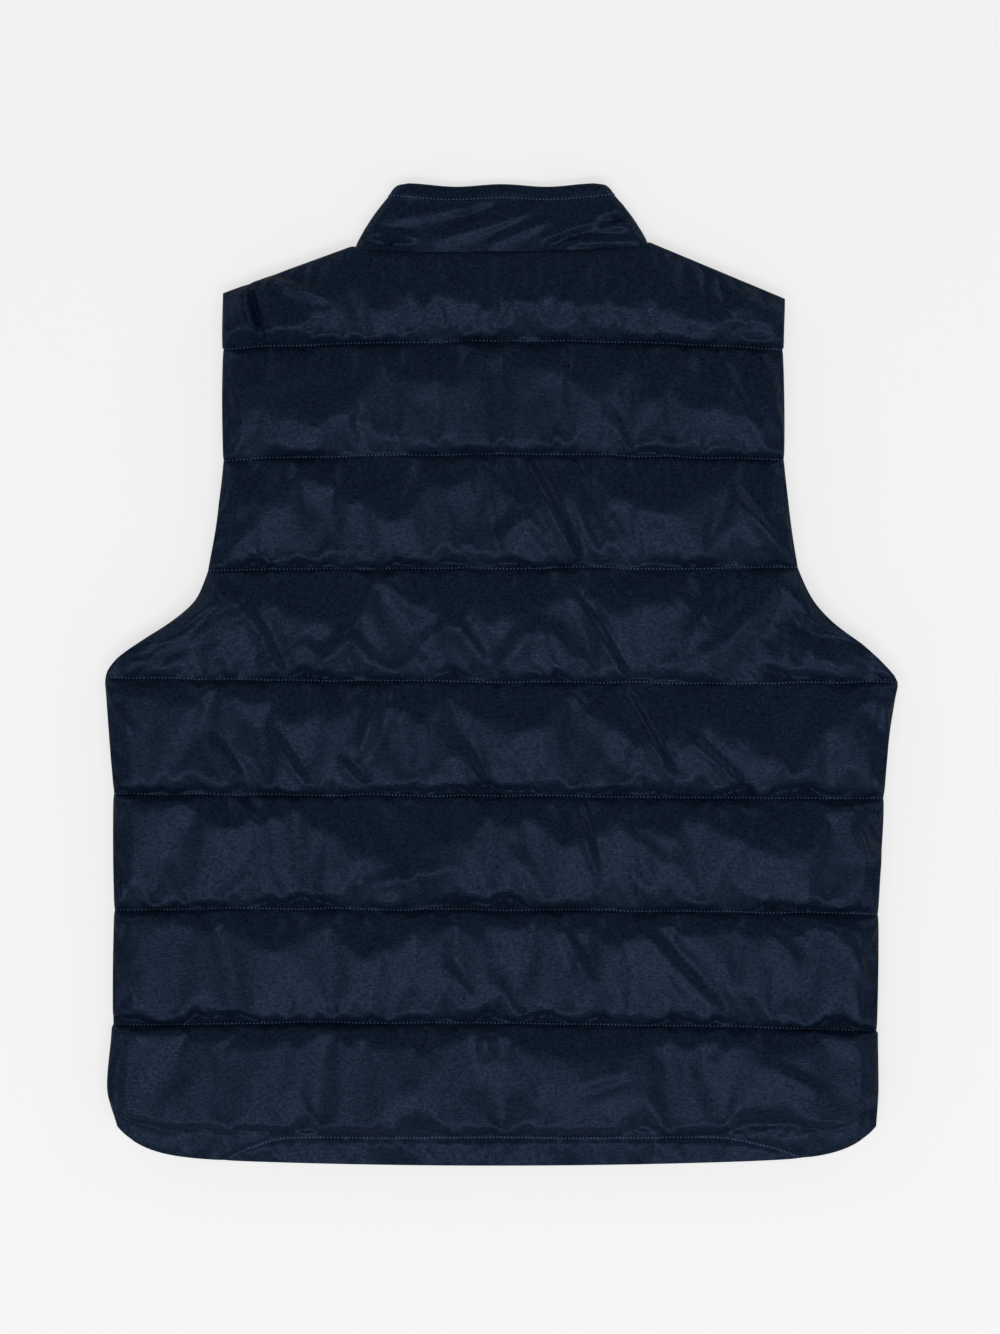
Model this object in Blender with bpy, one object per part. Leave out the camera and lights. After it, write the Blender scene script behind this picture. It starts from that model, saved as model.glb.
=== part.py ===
"""Quilted vest with a stand collar, lying flat on its fronts with its back upwards.

Metres, +Z up. X runs across the chest, +Y towards the collar, and the surface that it lies on is Z = 0.
The back lies on the two fronts, a zip joins the fronts, and the collar is one band that folds over at each
side of the neck. Each piece is a closed padded wall, built through sections that follow the stitch rows.
"""

import math
from collections import namedtuple

import bpy
import numpy as np

MM = 0.001

# Quilting, in millimetres: the first stitch row at the centre back, and the distance from row to row.
FIRST_STITCH_Y = 237.0
STITCH_PITCH = 81.0
LAST_STITCH = 6
HEM_EDGE = 7
HEM_STITCH = 6.79

# Neck and shoulders, in millimetres.
SHOULDER_TIP_LEFT = (-198.5, 271.0)
SHOULDER_TIP_RIGHT = (202.0, 267.0)
NECK_POINT_LEFT = (-106.5, 304.5)
NECK_POINT_RIGHT = (105.0, 307.5)
BACK_NECK_DIP = 5.5
FRONT_NECK_DROP = 60.0

# Hem: its lowest point, the rise from the centre to the sides, and the rounding of the two corners.
HEM_Y = -350.5
HEM_RISE = 7.0
HEM_CORNER = 21.0
HEM_CORNER_POWER = 14
FRONT_HEM_LIFT = 6.0

# Padded walls, in millimetres.
FRONT_THICKNESS = 10.0
BACK_CROWN = 12.5
SEAM_THICKNESS = 3.0
EDGE_ROUNDING = 16.0
EDGE_SHARE = 0.30
STITCH_NOTCH = 1.4
PUFF_POWER = 0.62
FLAT_CROWN_GAIN = 1.5
SEAM_GAP = 0.3
FRONT_SIDE_INSET = 1.5
FRONT_ARMHOLE_EXTRA = 7.0

# Collar, in millimetres.
COLLAR_THICKNESS = 6.0
COLLAR_FOLD_RADIUS = 4.0
COLLAR_LOWER_Z = 4.0
COLLAR_FOLD_BASE_X = 99.0
COLLAR_FOLD_TOP = (66.5, 348.5)
COLLAR_CORNER_DROP = 4.0
COLLAR_TOP_CREST = 1.0
COLLAR_SAG = 4.0
COLLAR_FRONT_TOP_Y = 292.0
COLLAR_FRONT_PULL = (45.0, 300.0)
COLLAR_GAP = 0.6
COLLAR_NECK_EASE = 1.5
COLLAR_PUFF = 1.2

# Zip, in millimetres: half of its showing width, its tape and its closed chain.
ZIP_HALF_WIDTH = 7.0
ZIP_TAPE_Z = (4.2, 5.4)
ZIP_CHAIN_HALF_WIDTH = 2.6
ZIP_CHAIN_Z = (3.0, 6.6)

NAVY_SATIN = (0.010, 0.020, 0.043)
ZIP_NAVY = (0.008, 0.013, 0.026)

# Where each section meets the left and right edge of the back, in millimetres. Rows count stitch rows
# downwards: 0 is the first stitch row, 3 is the underarm, 6 the last stitch row and 7 the hem.
Edge = namedtuple("Edge", "row left_x left_y right_x right_y")
SIDE_EDGES = (
    Edge(-1.00, *SHOULDER_TIP_LEFT, *SHOULDER_TIP_RIGHT),
    Edge(0.00, -199.0, 231.0, 201.0, 231.0),
    Edge(1.00, -199.0, 152.0, 202.0, 152.0),
    Edge(1.50, -202.0, 115.0, 205.0, 115.0),
    Edge(2.00, -210.0, 74.0, 212.0, 75.0),
    Edge(2.25, -217.5, 53.0, 221.0, 54.0),
    Edge(2.50, -236.0, 36.5, 236.0, 36.0),
    Edge(2.75, -260.0, 20.5, 258.0, 20.0),
    Edge(2.92, -277.0, 8.0, 274.0, 5.5),
    Edge(3.00, -283.2, -3.0, 283.2, -6.0),
    Edge(3.12, -282.0, -14.0, 281.0, -16.0),
    Edge(3.50, -279.5, -45.0, 276.0, -46.0),
    Edge(4.00, -277.0, -86.0, 273.0, -89.0),
    Edge(5.00, -276.5, -168.0, 269.0, -171.0),
    Edge(6.00, -277.5, -250.0, 268.0, -254.0),
    Edge(6.60, -281.0, -297.0, 268.5, -300.0),
    Edge(7.00, -274.0, -323.0, 267.0, -324.0),
)

# Folds that run down from a stitch row: the row above the channel, the place across in millimetres, how far
# it leans sideways on its way down, its depth as a share of the padding, and its reach down the channel.
Fold = namedtuple("Fold", "row across lean depth reach")
FOLDS = (
    Fold(-1, -178, 10, 0.45, 1.00),
    Fold(-1, -56, 10, 0.30, 1.00),
    Fold(-1, 11, -8, 0.30, 1.00),
    Fold(-1, 120, -18, 0.25, 1.00),
    Fold(0, -170, -10, 0.30, 0.90),
    Fold(0, -113, 14, 0.35, 0.85),
    Fold(0, -18, 6, 0.45, 0.95),
    Fold(0, 82, -10, 0.35, 0.80),
    Fold(0, 128, 40, 0.40, 0.70),
    Fold(1, -146, 12, 0.45, 0.85),
    Fold(1, -51, -12, 0.45, 0.85),
    Fold(1, -8, -20, 0.40, 0.70),
    Fold(1, 20, 42, 0.55, 1.00),
    Fold(1, 54, 16, 0.40, 0.80),
    Fold(1, 153, -16, 0.35, 0.90),
    Fold(2, -196, 36, 0.60, 1.00),
    Fold(2, -122, 8, 0.30, 0.50),
    Fold(2, -84, -6, 0.50, 0.90),
    Fold(2, -13, 0, 0.40, 0.80),
    Fold(2, 48, 38, 0.55, 1.00),
    Fold(2, 115, -8, 0.45, 0.90),
    Fold(2, 156, -16, 0.40, 0.70),
    Fold(2, 212, -6, 0.55, 0.95),
    Fold(3, -198, 14, 0.45, 0.90),
    Fold(3, -170, 22, 0.35, 0.80),
    Fold(3, -84, -24, 0.50, 0.95),
    Fold(3, -32, -8, 0.35, 0.90),
    Fold(3, 49, 2, 0.50, 0.95),
    Fold(3, 92, 38, 0.50, 1.00),
    Fold(3, 220, 18, 0.40, 0.80),
    Fold(4, -191, 36, 0.45, 0.90),
    Fold(4, -132, 10, 0.35, 0.80),
    Fold(4, -84, -10, 0.45, 0.80),
    Fold(4, -13, 14, 0.45, 0.90),
    Fold(4, 56, 6, 0.45, 0.85),
    Fold(4, 76, 40, 0.40, 0.90),
    Fold(4, 163, 26, 0.35, 0.80),
    Fold(5, -174, 10, 0.30, 0.70),
    Fold(5, -103, 24, 0.40, 0.80),
    Fold(5, -44, 4, 0.45, 0.90),
    Fold(5, 34, 34, 0.45, 0.90),
    Fold(5, 87, 44, 0.50, 1.00),
    Fold(5, 219, 20, 0.35, 0.80),
    Fold(6, -222, 8, 0.30, 0.70),
    Fold(6, -127, 12, 0.30, 0.60),
    Fold(6, -11, 2, 0.40, 0.95),
    Fold(6, 101, -10, 0.30, 0.60),
    Fold(6, 178, 26, 0.35, 0.50),
)
FOLD_TIP_WIDTH = 9.0
FOLD_END_WIDTH = 26.0

# How finely the sections are cut: places down each channel, places in from an edge in millimetres, and
# columns across the rest of each piece.
CHANNEL_PLACES = (0.0, 0.10, 0.26, 0.50, 0.74, 0.90)
HEM_CHANNEL_PLACES = (0.0, 0.08, 0.22, 0.42, 0.62, 0.74, 0.79, 0.84, 0.92)
EDGE_PLACES = (0.0, 2.5, 7.0, 14.0)
BACK_COLUMNS = 42
FRONT_COLUMNS = 8


def blend(a, b, share):
    """The point at that share of the way from a to b."""
    return a + (b - a) * share


def edge_value(column, row):
    """A column of SIDE_EDGES at any row, on a smooth curve with no overshoot."""
    rows = np.array([edge.row for edge in SIDE_EDGES])
    values = np.array([getattr(edge, column) for edge in SIDE_EDGES])
    steps = np.diff(rows)
    slopes = np.diff(values) / steps
    same_way = slopes[:-1] * slopes[1:] > 0
    mean = 2.0 * slopes[:-1] * slopes[1:] / np.where(same_way, slopes[:-1] + slopes[1:], 1.0)
    tangents = np.concatenate(([slopes[0]], np.where(same_way, mean, 0.0), [slopes[-1]]))
    i = int(np.clip(np.searchsorted(rows, row, side="right") - 1, 0, len(steps) - 1))
    t = (row - rows[i]) / steps[i]
    start = (1 + 2 * t) * (1 - t) ** 2 * values[i] + t * (1 - t) ** 2 * steps[i] * tangents[i]
    end = t**2 * (3 - 2 * t) * values[i + 1] - t**2 * (1 - t) * steps[i] * tangents[i + 1]
    return start + end


def shoulder_y(x):
    """The height of the shoulder line and of the back neck at this place across."""
    if x <= NECK_POINT_LEFT[0]:
        tip, neck = SHOULDER_TIP_LEFT, NECK_POINT_LEFT
    elif x >= NECK_POINT_RIGHT[0]:
        tip, neck = SHOULDER_TIP_RIGHT, NECK_POINT_RIGHT
    else:
        share = (x - NECK_POINT_LEFT[0]) / (NECK_POINT_RIGHT[0] - NECK_POINT_LEFT[0])
        dip = BACK_NECK_DIP * (1 - (2 * share - 1) ** 4)
        return blend(NECK_POINT_LEFT[1], NECK_POINT_RIGHT[1], share) - dip
    return blend(tip[1], neck[1], (x - tip[0]) / (neck[0] - tip[0]))


def front_neck_y(x):
    """The height of the shoulder line and of the front neck, a half ellipse between the neck points."""
    if not NECK_POINT_LEFT[0] < x < NECK_POINT_RIGHT[0]:
        return shoulder_y(x)
    share = (x - NECK_POINT_LEFT[0]) / (NECK_POINT_RIGHT[0] - NECK_POINT_LEFT[0])
    chord = blend(NECK_POINT_LEFT[1], NECK_POINT_RIGHT[1], share)
    return chord - FRONT_NECK_DROP * math.sqrt(1 - (2 * share - 1) ** 2)


def hem_y(u):
    """The height of the hem, with u from -1 at the left corner to 1 at the right one."""
    return HEM_Y + HEM_RISE * u**2 + HEM_CORNER * abs(u) ** HEM_CORNER_POWER


def stitch_y(u, row):
    """The height of a section between the first and the last stitch row: a chord with a slight bow."""
    left, right = edge_value("left_y", row), edge_value("right_y", row)
    middle = FIRST_STITCH_Y - STITCH_PITCH * row
    return blend(left, right, (u + 1) / 2) + (middle - (left + right) / 2) * (1 - u**2)


def side_edges(row):
    """Where a section ends at the left and right, drawn in a little at each stitch row."""
    drawn_in = STITCH_NOTCH * (1 - padding(row)) if 0 <= row <= LAST_STITCH else 0.0
    return edge_value("left_x", row) + drawn_in, edge_value("right_x", row) - drawn_in


def section_point(u, row, top_line, hem_lift=0.0):
    """Where column u of a section lies, from the neck line at row -1 to the hem at row 7."""
    x = blend(*side_edges(row), (u + 1) / 2)
    if row < 0:
        return x, blend(stitch_y(u, 0), top_line(x), -row)
    if row <= LAST_STITCH:
        return x, stitch_y(u, row)
    return x, blend(stitch_y(u, LAST_STITCH), hem_y(u) + hem_lift, row - LAST_STITCH)


def section_rows():
    """Every row that has a section, from the neck line down to the hem."""
    rows = [start + place for start in range(-1, LAST_STITCH) for place in CHANNEL_PLACES]
    return rows + [LAST_STITCH + place for place in HEM_CHANNEL_PLACES] + [HEM_EDGE]


def channel_of(row):
    """The stitch row above this place, and the share of the way down that channel."""
    if row >= HEM_STITCH:
        return HEM_STITCH, (row - HEM_STITCH) / (HEM_EDGE - HEM_STITCH)
    start = min(math.floor(row), LAST_STITCH)
    end = HEM_STITCH if start == LAST_STITCH else start + 1
    return start, (row - start) / (end - start)


def padding(row):
    """The share of its full padding that a channel has here: none on a stitch row, all at its middle."""
    start, share = channel_of(row)
    fullness = 0.45 if start == HEM_STITCH else 1.0
    return fullness * max(0.0, math.sin(math.pi * min(share, 1.0))) ** PUFF_POWER


def edge_padding(distance):
    """The share of the padding that is left at this distance from a panel's edge, in millimetres."""
    inward = 1 - min(distance / EDGE_ROUNDING, 1.0)
    return EDGE_SHARE + (1 - EDGE_SHARE) * math.sqrt(1 - inward**2)


def fold_depth(x, row):
    """How much of the padding the folds of this channel take away here."""
    start, share = channel_of(row)
    kept = 1.0
    for fold in FOLDS:
        if fold.row != start or share >= fold.reach:
            continue
        width = blend(FOLD_TIP_WIDTH, FOLD_END_WIDTH, share)
        fading = math.cos(0.5 * math.pi * share / fold.reach)
        kept *= 1 - fold.depth * fading * math.exp(-(((x - fold.across - fold.lean * share) / width) ** 2))
    return 1 - kept


def columns_across(left, right, count):
    """Places across a section: close together where its edges round off, even between them."""
    inner = EDGE_PLACES[-1]
    even = np.linspace(left + inner, right - inner, count)[1:-1]
    return [left + place for place in EDGE_PLACES] + list(even) + [right - place for place in EDGE_PLACES[::-1]]


def back_thickness(row, x, distance):
    """A back is thin on its stitch rows and at its edges, and full at the middle of each channel."""
    rounding = edge_padding(distance)
    full = padding(row) * rounding * (1 - fold_depth(x, row))
    return SEAM_THICKNESS * blend(0.7, 1.0, rounding) + (BACK_CROWN - SEAM_THICKNESS) * full


def front_thickness(row, distance):
    """A front is padded like the back, and its crowns are pressed flat by the surface that it lies on."""
    full = min(1.0, FLAT_CROWN_GAIN * padding(row)) * min(1.0, edge_padding(distance) * 1.02)
    return SEAM_THICKNESS + (FRONT_THICKNESS - SEAM_THICKNESS) * full


def zipped_triangles(first, second):
    """Triangles between two lines of points with different counts, each a list of point numbers."""
    triangles = []
    i = j = 0
    while i < len(first) - 1 or j < len(second) - 1:
        first_next = (i + 1) / max(len(first) - 1, 1)
        second_next = (j + 1) / max(len(second) - 1, 1)
        if j == len(second) - 1 or (i < len(first) - 1 and first_next <= second_next):
            triangles.append((first[i], second[j], first[i + 1]))
            i += 1
        else:
            triangles.append((first[i], second[j], second[j + 1]))
            j += 1
    return triangles


def panel_mesh(outer, inside_z):
    """A closed wall: a grid of outer points, and a plain inside below or above it at one height.

    The rows of the grid run down from the collar and its columns run to the right.
    """
    rows, columns = outer.shape[:2]
    points = [tuple(p) for p in outer.reshape(-1, 3)]
    faces = []

    def number(r, c):
        return r * columns + c

    for r in range(rows - 1):
        for c in range(columns - 1):
            faces.append((number(r, c), number(r + 1, c), number(r + 1, c + 1), number(r, c + 1)))
    rim = [(0, c) for c in range(columns)] + [(r, columns - 1) for r in range(1, rows)]
    rim += [(rows - 1, c) for c in range(columns - 2, -1, -1)] + [(r, 0) for r in range(rows - 2, 0, -1)]
    inside = {}
    for r, c in rim:
        inside[r, c] = len(points)
        points.append((outer[r, c, 0], outer[r, c, 1], inside_z))
    for here, there in zip(rim, rim[1:] + rim[:1]):
        faces.append((number(*here), number(*there), inside[there], inside[here]))
    for r in range(rows - 1):
        lines = []
        for row in (r, r + 1):
            across = range(columns) if row in (0, rows - 1) else (0, columns - 1)
            lines.append([inside[row, c] for c in across])
        faces += [triangle[::-1] for triangle in zipped_triangles(*lines)]
    if outer[:, :, 2].mean() < inside_z:
        faces = [face[::-1] for face in faces]
    return points, faces


def add_object(name, points, faces, material, smooth_angle=40.0):
    mesh = bpy.data.meshes.new(name)
    mesh.from_pydata([tuple(value * MM for value in point) for point in points], [], faces)
    mesh.validate()
    mesh.shade_smooth()
    mesh.set_sharp_from_angle(angle=math.radians(smooth_angle))
    mesh.materials.append(material)
    obj = bpy.data.objects.new(name, mesh)
    bpy.context.scene.collection.objects.link(obj)
    return obj


def make_material(name, colour, roughness, sheen):
    material = bpy.data.materials.new(name)
    material.use_nodes = True
    shader = material.node_tree.nodes["Principled BSDF"]
    shader.inputs["Base Color"].default_value = (*colour, 1.0)
    shader.inputs["Roughness"].default_value = roughness
    shader.inputs["Metallic"].default_value = 0.0
    shader.inputs["Sheen Weight"].default_value = sheen
    return material


def make_back(material):
    """The back: quilted outside, plain inside, lying on the fronts."""
    inside_z = FRONT_THICKNESS + SEAM_GAP
    grid = []
    for row in section_rows():
        left, right = side_edges(row)
        section = []
        for across in columns_across(left, right, BACK_COLUMNS):
            x, y = section_point(2 * (across - left) / (right - left) - 1, row, shoulder_y)
            distance = min(across - left, right - across)
            section.append((x, y, inside_z + back_thickness(row, x, distance)))
        grid.append(section)
    return add_object("back", *panel_mesh(np.array(grid), inside_z), material)


def front_side_x(row, side):
    """The side edge of a front: just inside the back's, with a deeper armhole."""
    edge = side_edges(row)[0 if side < 0 else 1]
    armhole = math.sin(math.pi * np.clip((row + 1) / 4, 0, 1)) ** 2
    return edge - side * (FRONT_SIDE_INSET + FRONT_ARMHOLE_EXTRA * armhole)


def make_front(name, side, material):
    """One front, from the zip to the side seam. Side is -1 on the left and 1 on the right."""
    zip_edge = side * (ZIP_HALF_WIDTH + SEAM_GAP)
    grid = []
    for row in section_rows():
        left, right = side_edges(row)
        side_x = front_side_x(row, side)
        section = []
        for x in columns_across(min(side_x, zip_edge), max(side_x, zip_edge), FRONT_COLUMNS):
            u = 2 * (x - left) / (right - left) - 1
            y = section_point(u, row, front_neck_y, FRONT_HEM_LIFT)[1]
            distance = min(abs(x - side_x), abs(x - zip_edge))
            section.append((x, y, FRONT_THICKNESS - front_thickness(row, distance)))
        grid.append(section)
    return add_object(name, *panel_mesh(np.array(grid), FRONT_THICKNESS), material)


CollarSection = namedtuple("CollarSection", "base top outward")


def collar_back_sections(count=15):
    """The half of the collar that lies upwards, from the left fold to the right one."""
    z = COLLAR_LOWER_Z + 2 * COLLAR_FOLD_RADIUS
    sections = []
    for share in np.linspace(0, 1, count):
        base_x = blend(-COLLAR_FOLD_BASE_X, COLLAR_FOLD_BASE_X, share)
        top_x = blend(-COLLAR_FOLD_TOP[0], COLLAR_FOLD_TOP[0], share)
        crest = COLLAR_TOP_CREST * math.cos(4 * math.pi * share)
        base = np.array((base_x, shoulder_y(base_x) + COLLAR_GAP, z))
        top = np.array((top_x, COLLAR_FOLD_TOP[1] + crest, z - COLLAR_SAG * math.sin(math.pi * share)))
        sections.append(CollarSection(base, top, np.array((0.0, 0.0, 1.0))))
    return sections


def collar_fold_sections(side, back_end, count=5):
    """The fold at one side of the neck, from the upward half down to the lower one."""
    along = back_end.top - back_end.base
    outward = np.array((-along[1], along[0], 0.0)) / np.linalg.norm(along[:2])
    outward *= -1 if outward[0] * side < 0 else 1
    up = np.array((0.0, 0.0, 1.0))
    sections = []
    for turn in np.linspace(0, math.pi, count + 2)[1:]:
        facing = outward * math.sin(turn) + up * math.cos(turn)
        shift = COLLAR_FOLD_RADIUS * (facing - up)
        top = back_end.top - along / np.linalg.norm(along) * COLLAR_CORNER_DROP * math.sin(turn) + shift
        sections.append(CollarSection(back_end.base + shift, top, facing))
    return sections


def collar_front_sections(side, fold_end, count=8):
    """The lower half of the collar at one side, from its fold to the zip, along the front neck."""
    neck = NECK_POINT_LEFT if side < 0 else NECK_POINT_RIGHT
    zip_edge = ZIP_HALF_WIDTH + SEAM_GAP
    down = np.array((0.0, 0.0, -1.0))
    pull = np.array((side * COLLAR_FRONT_PULL[0], COLLAR_FRONT_PULL[1]))
    front_top = np.array((side * zip_edge, COLLAR_FRONT_TOP_Y))
    sections = []
    for share in np.linspace(0, 1, count + 1)[1:]:
        turn = blend(0.0, math.acos(zip_edge / abs(neck[0])), share)
        x = neck[0] * math.cos(turn) - side * COLLAR_NECK_EASE * math.cos(turn) ** 2
        x = side * max(abs(x), zip_edge)
        base = np.array((x, front_neck_y(x) + COLLAR_GAP * 2, COLLAR_LOWER_Z))
        curve = (1 - share) ** 2 * fold_end.top[:2] + 2 * share * (1 - share) * pull + share**2 * front_top
        sections.append(CollarSection(base, np.array((*curve, COLLAR_LOWER_Z)), down))
    return sections


def collar_profile():
    """The wall of the collar as (share of its height, distance outwards), once round."""
    half = COLLAR_THICKNESS / 2
    outside = ((0.0, half - 0.8), (0.12, half), (0.45, half + COLLAR_PUFF), (0.79, half - 0.3))
    rolled_edge = ((0.90, half), (0.97, half - 0.9), (1.0, 0.0), (0.97, 0.9 - half))
    inside = ((0.80, -half), (0.0, -half))
    return outside + rolled_edge + inside


def make_collar(material):
    """The collar: one band from the zip round the back of the neck and back to the zip."""
    back = collar_back_sections()
    left_fold = collar_fold_sections(-1, back[0])
    right_fold = collar_fold_sections(1, back[-1])
    left = left_fold + collar_front_sections(-1, left_fold[-1])
    right = right_fold + collar_front_sections(1, right_fold[-1])
    sections = left[::-1] + back + right
    profile = collar_profile()
    points = [
        blend(s.base, s.top, height) + s.outward * distance for s in sections for height, distance in profile
    ]
    ring = len(profile)
    faces = []
    for i in range(len(sections) - 1):
        for j in range(ring):
            k = (j + 1) % ring
            faces.append((i * ring + j, (i + 1) * ring + j, (i + 1) * ring + k, i * ring + k))
    last = (len(sections) - 1) * ring
    faces.append(tuple(range(ring)))
    faces.append(tuple(last + j for j in range(ring - 1, -1, -1)))
    return add_object("collar", points, faces, material)


def make_zip(material):
    """The closed zip between the fronts, from the hem to the top of the collar: tapes and chain."""
    low, high = ZIP_TAPE_Z
    chain_low, chain_high = ZIP_CHAIN_Z
    edge, chain = ZIP_HALF_WIDTH, ZIP_CHAIN_HALF_WIDTH
    under = [(-edge, low), (-chain, low), (-chain, chain_low), (chain, chain_low), (chain, low), (edge, low)]
    over = [(edge, high), (chain, high), (chain, chain_high), (-chain, chain_high), (-chain, high), (-edge, high)]
    outline = under + over
    ends = (HEM_Y + FRONT_HEM_LIFT, COLLAR_FRONT_TOP_Y)
    points = [(x, y, z) for y in ends for x, z in outline]
    count = len(outline)
    faces = [(i, (i + 1) % count, count + (i + 1) % count, count + i) for i in range(count)]
    faces = [face[::-1] for face in faces]
    faces += [tuple(range(count)), tuple(range(2 * count - 1, count - 1, -1))]
    return add_object("zip", points, faces, material)


def main():
    for obj in list(bpy.data.objects):
        bpy.data.objects.remove(obj)
    satin = make_material("navy satin", NAVY_SATIN, 0.42, 0.3)
    collar_satin = make_material("navy satin collar", NAVY_SATIN, 0.45, 0.3)
    zip_finish = make_material("navy zip", ZIP_NAVY, 0.5, 0.0)
    make_back(satin)
    make_front("front_left", -1, satin)
    make_front("front_right", 1, satin)
    make_collar(collar_satin)
    make_zip(zip_finish)


main()
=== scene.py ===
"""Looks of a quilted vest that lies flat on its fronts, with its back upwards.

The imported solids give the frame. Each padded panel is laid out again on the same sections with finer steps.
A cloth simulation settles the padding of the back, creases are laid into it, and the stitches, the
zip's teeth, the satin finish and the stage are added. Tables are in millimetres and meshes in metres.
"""

import math
from collections import namedtuple

import bpy
import numpy as np
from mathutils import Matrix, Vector


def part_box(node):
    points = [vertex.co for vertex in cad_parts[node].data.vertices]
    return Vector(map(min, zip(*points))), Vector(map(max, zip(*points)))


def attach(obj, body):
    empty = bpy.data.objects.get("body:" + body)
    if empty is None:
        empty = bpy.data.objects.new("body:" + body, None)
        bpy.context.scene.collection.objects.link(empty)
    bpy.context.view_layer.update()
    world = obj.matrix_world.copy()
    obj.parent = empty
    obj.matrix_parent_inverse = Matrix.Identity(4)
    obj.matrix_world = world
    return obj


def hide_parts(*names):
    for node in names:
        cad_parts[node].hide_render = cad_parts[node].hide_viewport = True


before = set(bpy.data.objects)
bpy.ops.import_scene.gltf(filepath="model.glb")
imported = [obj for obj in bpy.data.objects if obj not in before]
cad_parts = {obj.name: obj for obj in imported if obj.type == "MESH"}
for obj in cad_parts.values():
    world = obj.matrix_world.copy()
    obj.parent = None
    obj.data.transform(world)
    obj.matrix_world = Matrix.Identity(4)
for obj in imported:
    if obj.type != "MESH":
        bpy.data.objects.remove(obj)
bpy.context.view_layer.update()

bl_info = {
    "name": "Quilted vest",
    "version": (1, 0, 0),
    "blender": (4, 5, 0),
    "location": "View3D > Sidebar > Vest",
    "description": "Dresses the packed solids of a quilted vest and sets its studio stage",
    "category": "Object",
}

MM = 0.001
BODY = "root"

# The lowest row is the hem. Rows count stitch rows downwards from the first one, and -1 is the neck line.
NECK_LINE = -1
LAST_STITCH = 6
HEM_STITCH = 6.79
HEM_EDGE = 7
STITCH_ROWS = range(7)

# Outline and padding of the panels, in millimetres and in shares of the full padding.
SHOULDER_TIP_LEFT = (-198.5, 271.0)
SHOULDER_TIP_RIGHT = (202.0, 267.0)
NECK_POINT_LEFT = (-106.5, 304.5)
NECK_POINT_RIGHT = (105.0, 307.5)
BACK_NECK_DIP = 5.5
FRONT_NECK_DROP = 60.0
HEM_Y = -350.5
HEM_RISE = 7.0
HEM_CORNER = 21.0
HEM_CORNER_POWER = 14
FRONT_HEM_LIFT = 6.0
FRONT_SIDE_INSET = 1.5
FRONT_ARMHOLE_EXTRA = 7.0
STITCH_NOTCH = 0.9
EDGE_SHARE = 0.30
PUFF_POWER = 0.62
CREST_FALL = (1.8, 0.84)
FALL_FADE = 0.35
CREST_SOFTNESS = (0.008, 0.05)
RISE_POWER = 0.6
SEAM_DROP = 6.0
DROP_POWER = 0.9
DROP_WAVER = 3.0
POCKET_DROP = 18.0
POCKET_BIAS = 0.2
SWELL = 0.10
HIGH_CREST = 0.85
HEM_PADDING = 0.2
HEM_FULLNESS = 0.30
HEM_FADE = 0.8
HEM_RISE_RATE = 3
HEM_GROOVE = 1.6
HEM_GROOVE_WIDTH = 2.2
SIDE_GROOVE = 0.9
SIDE_GROOVE_WIDTH = 2.0
SIDE_GROOVE_INSET = 9.0
SIDE_GROOVE_TOP = -12.0
LEAST_THICKNESS = 0.4
SEAM_EDGE_SHARE = 0.7
HEM_STITCH_Y = -330.2
HEM_STITCH_FALL = 14.0
HEM_STITCH_LEFT = (-193.0, -144.0)
HEM_STITCH_RIGHT = (141.0, 213.0)
HEM_STITCH_STEP = 2.0
FLAT_CROWN_GAIN = 1.5
FLAT_EDGE_GAIN = 1.02
SEAM_GAP = 0.3
STITCH_LIFT = 0.3

# Where each section meets the left and right edge of the back, in millimetres.
Edge = namedtuple("Edge", "row left_x left_y right_x right_y")
SIDE_EDGES = (
    Edge(-1.00, *SHOULDER_TIP_LEFT, *SHOULDER_TIP_RIGHT),
    Edge(0.00, -199.0, 231.0, 201.0, 231.0),
    Edge(1.00, -199.0, 152.0, 202.0, 152.0),
    Edge(1.50, -202.0, 115.0, 205.0, 115.0),
    Edge(2.00, -210.0, 74.0, 212.0, 75.0),
    Edge(2.25, -217.5, 53.0, 221.0, 54.0),
    Edge(2.50, -236.0, 36.5, 236.0, 36.0),
    Edge(2.75, -260.0, 20.5, 258.0, 20.0),
    Edge(2.92, -277.0, 8.0, 274.0, 5.5),
    Edge(3.00, -283.2, -3.0, 283.2, -6.0),
    Edge(3.12, -282.0, -14.0, 281.0, -16.0),
    Edge(3.50, -279.5, -45.0, 276.0, -46.0),
    Edge(4.00, -277.0, -86.0, 273.0, -89.0),
    Edge(5.00, -276.5, -168.0, 269.0, -171.0),
    Edge(6.00, -277.5, -250.0, 268.0, -254.0),
    Edge(6.60, -281.0, -297.0, 268.5, -300.0),
    Edge(7.00, -274.0, -323.0, 267.0, -324.0),
)

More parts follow.
